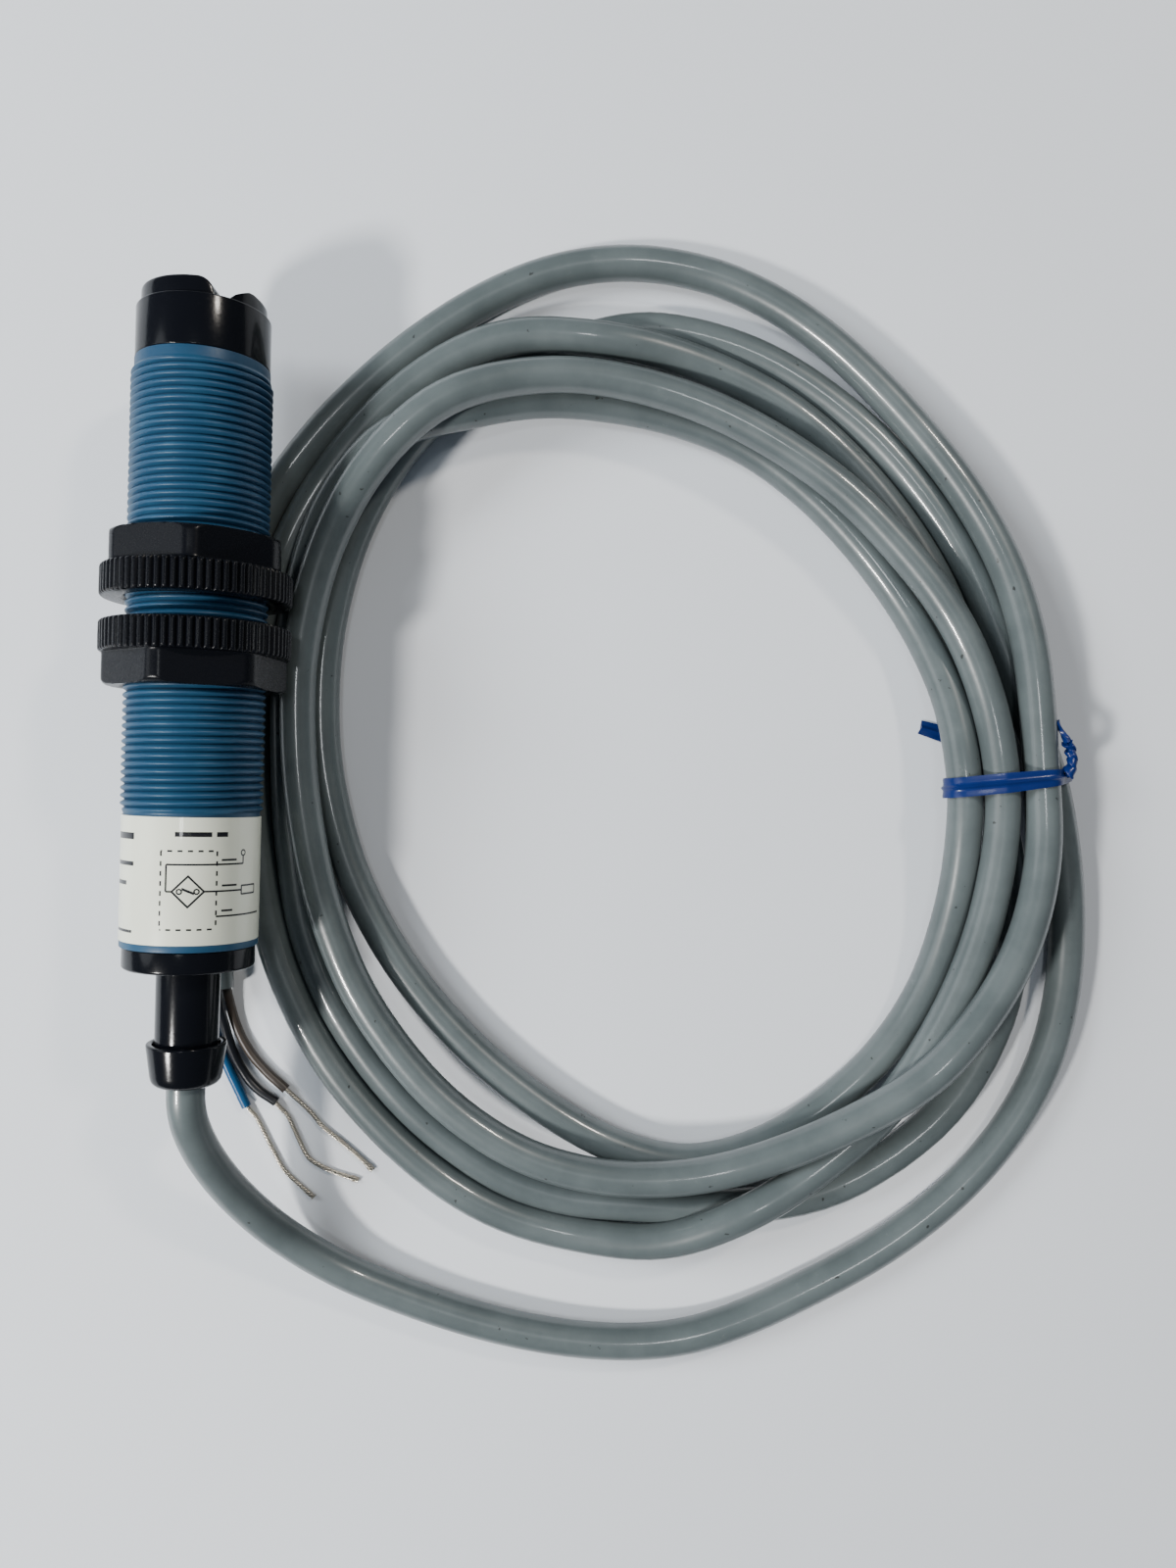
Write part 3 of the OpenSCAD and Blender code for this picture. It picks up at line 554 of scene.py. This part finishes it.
# the three conductors at the cable's cut end, with their bare strands
wires = {
    "diameter": 0.0014, "strand": 0.00025, "lay": 0.00022, "bundle": 0.0007, "twist": 0.0034,
    # the share of each bundle that is frayed; the lift off the floor, the routes and the bare ends are in mm
    "frayed": 0.14, "lift": 0.04,
    "routes": {
        "black": [(-1, -41, -14.2), (-0.6, -44.5, -14.9), (0.1, -47.8, -15.7), (1, -51.2, -16.3),
                  (2.4, -54.2, -16.7), (4.5, -56.9, -16.8), (7.6, -59, -16.8)],
        "brown": [(-0.1, -41, -15.6), (0.5, -44.5, -16.4), (1.5, -48, -16.8), (3.2, -51.2, -16.8),
                  (5.6, -54.1, -16.8), (9, -57.1, -16.8)],
        "blue": [(-2, -41, -15.6), (-1.9, -44.5, -16.4), (-1.6, -48, -16.8), (-0.9, -51, -16.8),
                 (0.4, -54.2, -16.8), (1.9, -57.2, -16.8), (3.2, -59.8, -16.8)]},
    "bare": {
        "black": [(9.3, -61.2), (10.5, -63.6), (11.8, -66.2), (12.9, -67.6), (15.6, -69), (19.9, -70.4)],
        "brown": [(11, -59), (12.9, -60.8), (14.5, -62.6), (17.2, -64.7), (19.7, -66.7), (22, -68.8)],
        "blue": [(4.7, -61.6), (5.8, -63.6), (7.3, -66.4), (9.2, -69.4), (13.4, -73.1)]},
}


def acrossLine(line):
    # two unit directions across a line, at each of its points
    direction = np.gradient(line, axis=0)
    direction /= np.linalg.norm(direction, axis=1)[:, None]
    side = np.cross(direction, (0, 0, 1))
    side /= np.linalg.norm(side, axis=1)[:, None]
    return side, np.cross(side, direction)


def strandLines(line, layers):
    # fine wires twisted round the bundle's middle
    side, up = acrossLine(line)
    run = np.concatenate([[0], np.cumsum(np.linalg.norm(np.diff(line, axis=0), axis=1))])
    made = []
    for count, r in layers:
        for k in range(count):
            a = 2 * math.pi * (run / wires["twist"] + k / count)
            fray = np.clip((run / run[-1] - 1) / wires["frayed"] + 1, 0, 1)
            loose = 1 + 0.5 * fray * (0.4 + 0.6 * (k % 3))
            strand = line + (np.cos(a) * r * loose)[:, None] * side + (np.sin(a) * r * loose)[:, None] * up
            strand[:, 2] = np.maximum(strand[:, 2], floorZ + wires["strand"] * 0.52)
            made.append(strand)
    return made


cordPieces = []
for name, points in wires["routes"].items():
    covered = [(np.array(p) + (0, 0, wires["lift"])) * mm for p in points]
    piece = curvePiece("wire_" + name + "_insulation", [covered], wires["diameter"], "wire_" + name, 8, 6)
    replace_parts(piece, "wire_" + name)
    low = floorZ + wires["bundle"] / 2
    bare = [covered[-1] + (covered[-2] - covered[-1]) * 0.2]
    bare += [np.array((x * mm, y * mm, low)) for x, y in wires["bare"][name]]
    bare.insert(1, (bare[0] + bare[1]) / 2)
    fine = smoothLine(bare, 10)
    strands = curvePiece("strands_" + name + "_twisted", strandLines(fine, [(1, 0), (6, wires["lay"])]),
                         wires["strand"], "tinned_copper", 2, 3)
    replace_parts(strands, "strands_" + name)
    cordPieces += [piece, strands]
print("conductors made")


# twist tie; its knot and tail are measured from where the band crosses the strands
tie = {"width": 2.8, "thick": 0.30, "ridge": 0.32, "core": 0.24, "curl": 0.16, "slant": 0.13, "slack": 0.10,
       "between": (95, 130), "narrow": (0.3, 8), "knot": (119.75, 1.0, -8.1), "knotRise": 4.5,
       "knotBulge": 0.5, "knotTurns": 1.7, "knotRadius": 0.52, "knotWide": (0.66, 0.24),
       "arm": (-1.5, 3.1, -0.5), "armTwist": 2.5, "armWide": (0.40, 0.14),
       "tail": (0.6, 7.8), "tailRun": (6.4, -1.75), "tailWide": (0.72, 0.28), "notch": 0.4}


def ribbonSection(wide=1.0):
    # a wire core between two thin wings that curl up at their edges
    half, thick = tie["width"] / 2 * wide, tie["thick"] / 2
    share = np.array([-1, -0.97, -0.8, -0.5, -0.28, -0.18, -0.09, 0, 0.09, 0.18, 0.28, 0.5, 0.8, 0.97, 1])
    proud = np.exp(-(share * half / tie["core"]) ** 2) * tie["ridge"]
    curl = np.abs(share) ** 3 * tie["curl"] * wide
    edge = np.clip(1 - np.abs(share) ** 14, 0.25, 1)
    top = [(a * half, (thick + p) * e + c) for a, p, c, e in zip(share, proud, curl, edge)]
    return top + [(a * half, c - thick * e) for a, c, e in zip(share[::-1], curl[::-1], edge[::-1])]


def ribbon(name, path, flat, closed, wide=None, notch=0):
    # path is the ribbon's middle line and flat the direction across it, in mm
    path, flat = np.array(path, float), np.array(flat, float)
    ahead = np.roll(path, -1, axis=0) - np.roll(path, 1, axis=0) if closed else np.gradient(path, axis=0)
    ahead /= np.linalg.norm(ahead, axis=1)[:, None]
    flat = flat - (flat * ahead).sum(axis=1)[:, None] * ahead
    flat /= np.linalg.norm(flat, axis=1)[:, None]
    face = np.cross(flat, ahead)
    points = []
    for i in range(len(path)):
        for a, b in ribbonSection(1 if wide is None else wide[i]):
            cut = notch * (1 - abs(a) * 2 / tie["width"]) if i == 0 else 0
            points.append((path[i] + ahead[i] * cut + flat[i] * a + face[i] * b) * mm)
    sides = len(ribbonSection())
    faces = loftFaces(len(path), sides, closed)
    if not closed:
        faces += [tuple(range(sides)), tuple(range(len(points) - sides, len(points)))]
    return meshPiece(name, points, faces, "tie_blue", sharp=50)


fineCable = smoothLine(laid, 12) * 1000
tieY = cable["tieAcross"] * 1000
held = []
for a, b in zip(fineCable, fineCable[1:]):
    if (a[1] - tieY) * (b[1] - tieY) <= 0 and a[1] != b[1] and tie["between"][0] < a[0] < tie["between"][1]:
        held.append(a + (b - a) * (tieY - a[1]) / (b[1] - a[1]))
held = np.array(held)
reach = cable["diameter"] * 500 + tie["thick"] / 2 + tie["slack"]
rim = [Vector((x + reach * math.cos(t), z + reach * math.sin(t)))
       for x, y, z in held for t in np.linspace(0, 2 * math.pi, 32, endpoint=False)]
hull = [rim[i] for i in geometry.convex_hull_2d(rim)]
loop = np.array([(p.x, p.y) for p in hull])
tieFloor = floorZ * 1000 + tie["thick"] / 2 + 0.02
loop[:, 1] = np.maximum(loop[:, 1], tieFloor + tie["ridge"])
tieMiddle = held[:, 0].mean()
bandPath = [(x, tieY + (x - tieMiddle) * tie["slant"], z) for x, z in loop]
less, over = tie["narrow"]
bandWide = [1 - less * min(max((x - tieMiddle) / over, 0), 1) for x, z in loop]
band = ribbon("tie_band", bandPath, [(0, 1, 0)] * len(bandPath), True, bandWide)
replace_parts(band, "coil_tie")

# the two ends twisted together against the outermost strand, one of them left longer
knotX, knotUp, knotZ = tie["knot"]
knotAt = np.linspace(0, 1, 40)
knotLine = np.array([(knotX + tie["knotBulge"] * math.sin(math.pi * s), tieY + knotUp + s * tie["knotRise"],
                      knotZ - 0.5 * s) for s in knotAt])
for k in (0, 1):
    spin = knotAt * tie["knotTurns"] * 2 * math.pi + k * math.pi
    off = np.stack([np.cos(spin), 0.15 * np.sin(spin), np.sin(spin)], axis=1) * tie["knotRadius"]
    across = np.stack([-np.sin(spin), 0.5 + 0 * spin, np.cos(spin)], axis=1)
    width = tie["knotWide"][0] - tie["knotWide"][1] * knotAt
    ribbon(f"tie_twist_{k + 1}", knotLine + off, across, False, width)
armAt = np.linspace(0, 1, 24)
armLine = [knotLine[-1] + np.array(tie["arm"]) * (s ** 1.3, s, math.sin(s * 3)) for s in armAt]
armFlat = [(math.cos(tie["armTwist"] * s), 0, math.sin(tie["armTwist"] * s)) for s in armAt]
armPiece = ribbon("tie_arm", armLine, armFlat, False, tie["armWide"][0] - tie["armWide"][1] * armAt)
tailX, tailUp = boxMm("coil_tie")[0].x + tie["tail"][0], tieY + tie["tail"][1]
runX, runY = tie["tailRun"]
tailAt = np.linspace(0, 1, 12)
tailLine = [(tailX + runX * s, tailUp + runY * s, tieFloor + 0.12 * (1 - s) * math.sin(s * 3))
            for s in tailAt]
tailPiece = ribbon("tie_tail", tailLine, [(runY, -runX, 0)] * len(tailAt), False,
                   tie["tailWide"][0] + tie["tailWide"][1] * tailAt, tie["notch"])
print("tie made round", len(held), "strands")


# barrel, its thread cut as one helix
threadLow = boxMm("label")[1].y + 0.2
barrelLow, barrelHigh = boxMm("barrel")
barrel = {"pitch": 1.0, "crest": 9.0, "root": 8.46, "rear": 8.6, "bore": 7.3, "band": 1.2, "rows": 10,
          "sides": 128, "ring": 8.75,
          # the crests' fullness and height, and the turns over which the thread runs out
          "full": 0.62, "high": 1.06, "runOut": 0.9}


def barrelPiece():
    sides, rows = barrel["sides"], barrel["rows"]
    share = np.arange(sides) / sides
    start, end = threadLow, barrelHigh.y - barrel["band"]
    labelLow = boxMm("label")[0].y
    flatRows = []

    def plain(r, y):
        flatRows.append((np.full(sides, float(r)), np.full(sides, float(y))))

    for r, y in rounded([(barrel["bore"], barrelHigh.y), (barrel["bore"], barrelLow.y),
                         (barrel["ring"], barrelLow.y), (barrel["ring"], labelLow - 0.02),
                         (barrel["rear"], labelLow - 0.02), (barrel["rear"], start - 0.01)], 0.12):
        plain(r, y)
    turnsCount = int(round((end - start) / barrel["pitch"]))
    for k in range(-rows, (turnsCount + 1) * rows):
        along = start + barrel["pitch"] * (k / rows + share)
        y = np.clip(along, start, end)
        wave = 0.5 - 0.5 * math.cos(2 * math.pi * (k % rows) / rows)
        crest = min(1, barrel["high"] * wave ** barrel["full"])
        r = barrel["root"] + (barrel["crest"] - barrel["root"]) * crest
        fade = np.clip(np.minimum(y - start, end - y) / (barrel["runOut"] * barrel["pitch"]), 0, 1)
        fade = fade * fade * (3 - 2 * fade)
        flatRows.append((barrel["rear"] + (r - barrel["rear"]) * fade, y))
    for r, y in rounded([(barrel["rear"], end + 0.01), (barrel["rear"], barrelHigh.y),
                         (barrel["bore"], barrelHigh.y)], 0.10)[:-1]:
        plain(r, y)
    angle = 2 * math.pi * share
    points = [(r[j] * math.sin(angle[j]) * mm, y[j] * mm, r[j] * math.cos(angle[j]) * mm)
              for r, y in flatRows for j in range(sides)]
    faces = []
    first = next(i for i, row in enumerate(flatRows) if np.ptp(row[1]) > 0) - 1
    helix = range(first, first + (turnsCount + 2) * rows)
    for i in range(len(flatRows)):
        a, b = i * sides, (i + 1) % len(flatRows) * sides
        for j in range(sides - 1):
            faces.append((a + j, a + j + 1, b + j + 1, b + j))
        # the helix meets itself one turn on
        shift = rows if i in helix and i + 1 in helix and i + rows + 1 in helix else 0
        faces.append((a + sides - 1, a + shift * sides, b + shift * sides, b + sides - 1))
    return meshPiece("barrel_threaded", points, faces, "barrel_blue", weld=0.000004, sharp=50)


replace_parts(barrelPiece(), "barrel")
print("barrel threaded")


# the two lock nuts
nut = {"flange": 4.1, "total": 8.4, "flangeR": 12.2, "bore": 9.05, "flat": 10.45, "cornerR": 11.7,
       "teeth": 72, "depth": 0.42, "perTooth": 8, "edge": 0.55, "hexEdge": 1.0, "soft": 0.10,
       "hexSoft": 0.25, "hexRound": 1.05, "rimSoft": 0.12, "nub": (0.55, 3.0, 0.8)}


def softLess(a, b, k):
    # the smaller of two radii with a rounded change between them
    h = np.clip(0.5 + 0.5 * (b - a) / k, 0, 1)
    return b + (a - b) * h - k * h * (1 - h)


def nutPiece(name, node, direction, corner, nub=None):
    sides = nut["teeth"] * nut["perTooth"]
    angle = np.arange(sides) / sides * 2 * math.pi
    tooth = 0.5 + 0.5 * np.cos(angle * nut["teeth"])
    valley = 1 - np.clip(tooth * 1.5, 0, 1) ** 0.8
    around = (np.degrees(angle) - corner) % 60 - 30
    hexR = softLess(nut["flat"] / np.cos(np.radians(around)), np.full(sides, nut["cornerR"]), nut["hexSoft"])
    low, high = boxMm(node)
    face = low.y if direction > 0 else high.y
    rows = []

    def row(s, r):
        rows.append((s, r if hasattr(r, "__len__") else np.full(sides, float(r))))

    total, flange, edge = nut["total"], nut["flange"], nut["edge"]
    for r, s in rounded([(nut["bore"], total - 0.5), (nut["bore"], 0.5), (nut["bore"] + 0.45, 0.0),
                         (nut["flangeR"] - edge, 0.0)], 0.12, 3):
        row(s, r)
    for s in np.concatenate([np.linspace(0, edge, 7)[1:], np.linspace(edge, flange - edge, 5)[1:-1],
                             np.linspace(flange - edge, flange, 7)]):
        end = min(s, flange - s) / edge
        envelope = nut["flangeR"] - edge * (1 - math.sqrt(max(0, 1 - (1 - min(end, 1)) ** 2)))
        r = softLess(nut["flangeR"] - nut["depth"] * valley, np.full(sides, envelope), nut["soft"])
        if nub is not None:
            proud, broad, tall = nut["nub"]
            away = ((np.degrees(angle) - nub + 180) % 360 - 180) / broad
            r = r + proud * np.exp(-away ** 4 - ((s - flange * 0.55) / tall) ** 4)
        row(s, r)
    row(flange, hexR + 0.12)
    row(flange + 0.05, hexR + 0.03)
    row(flange + 0.12, hexR)
    for s in np.concatenate([np.linspace(flange + 0.4, total - nut["hexEdge"], 4),
                             np.linspace(total - nut["hexEdge"], total, 9)[1:]]):
        end = np.clip((total - s) / nut["hexEdge"], 0, 1)
        envelope = nut["cornerR"] - nut["hexRound"] * (1 - math.sqrt(1 - (1 - end) ** 2))
        row(s, softLess(hexR, np.full(sides, envelope), nut["rimSoft"]))
    row(total, nut["bore"] + 0.55)
    row(total - 0.08, nut["bore"] + 0.42)
    points = [(r[j] * math.sin(angle[j]) * mm, (face + direction * s) * mm, r[j] * math.cos(angle[j]) * mm)
              for s, r in rows for j in range(sides)]
    piece = meshPiece(name, points, loftFaces(len(rows), sides, True), "nut_black", node, sharp=42)
    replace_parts(piece, node)
    return piece


nutPiece("front_nut_moulded", "front_nut", 1, 14)
nutPiece("rear_nut_moulded", "rear_nut", -1, 53, nub=-84)
print("nuts made")


# front cap with its raised bezel, and the two lenses
cap = {"plugR": 7.25, "plug": 5, "innerR": 5.9, "floor": 2.4, "sideR": 8.55, "bezelR": 7.95, "bezel": 2.3,
       "lobeEnd": 3.5, "lobeR": 1.9, "fin": [(5.05, 0.0), (5.7, 0.9), (6.95, 1.95), (7.3, 2.0), (8, 1.7)],
       "lensX": -2.4, "lensHoleR": 4.25, "lampX": 4.6, "sides": 240}
shoulderY = boxMm("front_cap")[1].y - cap["bezel"]
seatY = barrelHigh.y


def bezelHeight(x, z):
    # height above the shoulder: a lobe with one rounded shoulder, a valley and a fin
    bend = np.clip(x - (cap["lobeEnd"] - cap["lobeR"]), 0, cap["lobeR"])
    lobe = cap["bezel"] - cap["lobeR"] + np.sqrt(np.maximum(cap["lobeR"] ** 2 - bend ** 2, 0))
    fin = np.interp(x, *zip(*cap["fin"]))
    high = np.where(x < cap["lobeEnd"], lobe, fin)
    eye = np.hypot(x - cap["lensX"], z)
    rim = np.clip((eye - cap["lensHoleR"]) / 0.18, 0, 1)
    return high * rim + 0.2 * (1 - rim)


def frontCap():
    sides = cap["sides"]
    angle = np.arange(sides) / sides * 2 * math.pi
    rows = []
    profile = rounded([(0.01, shoulderY - cap["floor"]), (cap["innerR"], shoulderY - cap["floor"]),
                       (cap["innerR"], seatY - cap["plug"]), (cap["plugR"], seatY - cap["plug"]),
                       (cap["plugR"], seatY + 0.02), (cap["sideR"], seatY + 0.02), (cap["sideR"], shoulderY),
                       (cap["bezelR"] + 0.05, shoulderY)], 0.22)
    for r, y in profile:
        rows.append([(r * math.sin(a), y, r * math.cos(a)) for a in angle])
    wall = [(cap["bezelR"], 0.0), (cap["bezelR"], 0.35), (cap["bezelR"], 0.75), (cap["bezelR"] - 0.02, 0.90),
            (cap["bezelR"] - 0.07, 0.97), (cap["bezelR"] - 0.15, 1.0)]
    for r, share in wall:
        x, z = r * np.sin(angle), r * np.cos(angle)
        rows.append(list(zip(x, shoulderY + share * bezelHeight(x, z), z)))
    for r in np.linspace(cap["bezelR"] - 0.25, 0.01, 70):
        x, z = r * np.sin(angle), r * np.cos(angle)
        rows.append(list(zip(x, shoulderY + bezelHeight(x, z), z)))
    points = [np.array(p) * mm for r in rows for p in r]
    faces = loftFaces(len(rows), sides, False)
    return meshPiece("front_cap_moulded", points, faces, "gloss_black", weld=0.000012)


def lensPiece(name, node, x, slotName):
    low, high = boxMm(node)
    radius, dome, sides = (high.x - low.x) / 2, (high.y - low.y) * 0.28, 72
    foot = rounded([(radius - 0.3, low.y), (radius, low.y + 0.3), (radius, high.y - dome - 0.01)], 0.1)
    arc = [(max(radius * math.cos(t), 0.001), high.y - dome + dome * math.sin(t))
           for t in np.linspace(0.0, math.pi / 2, 14)]
    profile = [(0.001, low.y), *foot, *arc]
    angle = np.arange(sides) / sides * 2 * math.pi
    points = [((x + r * math.sin(a)) * mm, y * mm, r * math.cos(a) * mm) for r, y in profile for a in angle]
    piece = meshPiece(name, points, loftFaces(len(profile), sides, False), slotName)
    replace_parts(piece, node)


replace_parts(frontCap(), "front_cap")
lensPiece("receiver_lens_polished", "receiver_lens", cap["lensX"], "lens")
lensPiece("emitter_lens_polished", "emitter_lens", cap["lampX"], "lens")
print("front cap made")


# label, rear cap, strain relief and its collar
rear = {"labelR": 8.8, "capR": 8.4, "plugR": 7.25, "reliefR": 4.1, "boreR": 2.55, "lipR": 5.2, "endR": 4.6,
        "cup": 1.2, "soleR": 3.8, "filmR": 8.65, "chamferR": 8.15, "swellR": 4.4, "cupR": 4.3}
low, high = boxMm("label")
film = rounded([(rear["filmR"], high.y), (rear["filmR"], low.y), (rear["labelR"], low.y),
                (rear["labelR"], high.y), (rear["filmR"], high.y)], 0.04)
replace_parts(turned("label_film", film, "label_film", sides=160), "label")
low, high = boxMm("rear_cap")
holeR = rear["reliefR"] + 0.05
capLine = rounded([(holeR, high.y), (holeR, low.y), (rear["chamferR"], low.y), (rear["capR"], low.y + 0.25),
                   (rear["capR"], barrelLow.y), (rear["plugR"], barrelLow.y), (rear["plugR"], high.y),
                   (holeR, high.y)], 0.3)
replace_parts(turned("rear_cap_moulded", capLine, "gloss_black"), "rear_cap")
low, high = boxMm("strain_relief")
tubeLine = rounded([(rear["boreR"], high.y), (rear["boreR"], low.y), (rear["reliefR"], low.y),
                    (rear["reliefR"], high.y), (rear["boreR"], high.y)], 0.2)
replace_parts(turned("strain_relief_moulded", tubeLine, "gloss_black", sides=96), "strain_relief")
low, high = boxMm("relief_collar")
cupY = high.y - rear["cup"]
collarLine = rounded([(rear["boreR"], cupY), (rear["boreR"], low.y), (rear["soleR"], low.y),
                      (rear["swellR"], low.y + 0.5), (rear["endR"], low.y + 1.2), (rear["lipR"], high.y),
                      (rear["cupR"] + 0.05, high.y), (rear["cupR"], cupY), (rear["boreR"], cupY)], 0.35, 6)
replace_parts(turned("relief_collar_moulded", collarLine, "gloss_black", sides=96), "relief_collar")
print("rear end made")


# the parts inside keep their own shapes and get their finishes
for node, piece in frame["nodes"].items():
    piece.data.materials.clear()
    piece.data.materials.append(finishes[slotOf[node]])


# floor and light
stageSet = {"floor": (0.66, 0.685, 0.72), "world": (0.72, 0.84, 1.0), "worldStrength": 0.20,
            "aim": (0.05, -0.01, -0.01),
            # each light's place, width, power, colour and whether it shows in gloss
            "lights": [("key", (-0.33, -0.26, 0.44), 0.075, 4.6, (1.0, 0.98, 0.95), True),
                       ("soft", (-0.52, 0.22, 0.46), 0.34, 6.0, (0.93, 0.97, 1.0), False),
                       ("window", (-0.62, 0.05, 0.40), 0.42, 0.9, (0.93, 0.97, 1.0), True),
                       ("lamp", (0.36, 0.34, 0.44), 0.06, 1.5, (1.0, 0.93, 0.84), True),
                       ("roof", (0.03, 0.06, 0.90), 0.10, 0.8, (0.95, 0.98, 1.0), True)]}


def floorPaint():
    paint = Paint("floor")
    cloud = paint.noise(0.05, 4)
    fine = paint.noise(0.001, 3)
    base = paint.mixColour(cloud, stageSet["floor"], [c * 0.96 for c in stageSet["floor"]])
    return paint.set(colour=base, roughness=0.75 + fine * 0.1, normal=paint.bump(fine, 0.1, 0.00002))


floorMesh = bpy.data.meshes.new("floor")
floorMesh.from_pydata([(-2, -2, 0), (2, -2, 0), (2, 2, 0), (-2, 2, 0)], [], [(0, 1, 2, 3)])
floor = bpy.data.objects.new("floor", floorMesh)
floor.location = (0, 0, floorZ)
floorMesh.materials.append(floorPaint())
scene.collection.objects.link(floor)

world = bpy.data.worlds.new("studio")
world.use_nodes = True
world.node_tree.nodes["Background"].inputs["Color"].default_value = (*stageSet["world"], 1)
world.node_tree.nodes["Background"].inputs["Strength"].default_value = stageSet["worldStrength"]
scene.world = world
for name, place, size, power, colour, glossy in stageSet["lights"]:
    data = bpy.data.lights.new(name, "AREA")
    data.shape = "DISK"
    data.size = size
    data.energy = power
    data.color = colour
    light = bpy.data.objects.new(name, data)
    light.location = place
    light.visible_glossy = glossy
    light.rotation_euler = (Vector(stageSet["aim"]) - Vector(place)).to_track_quat("-Z", "Y").to_euler()
    scene.collection.objects.link(light)
print("lit")
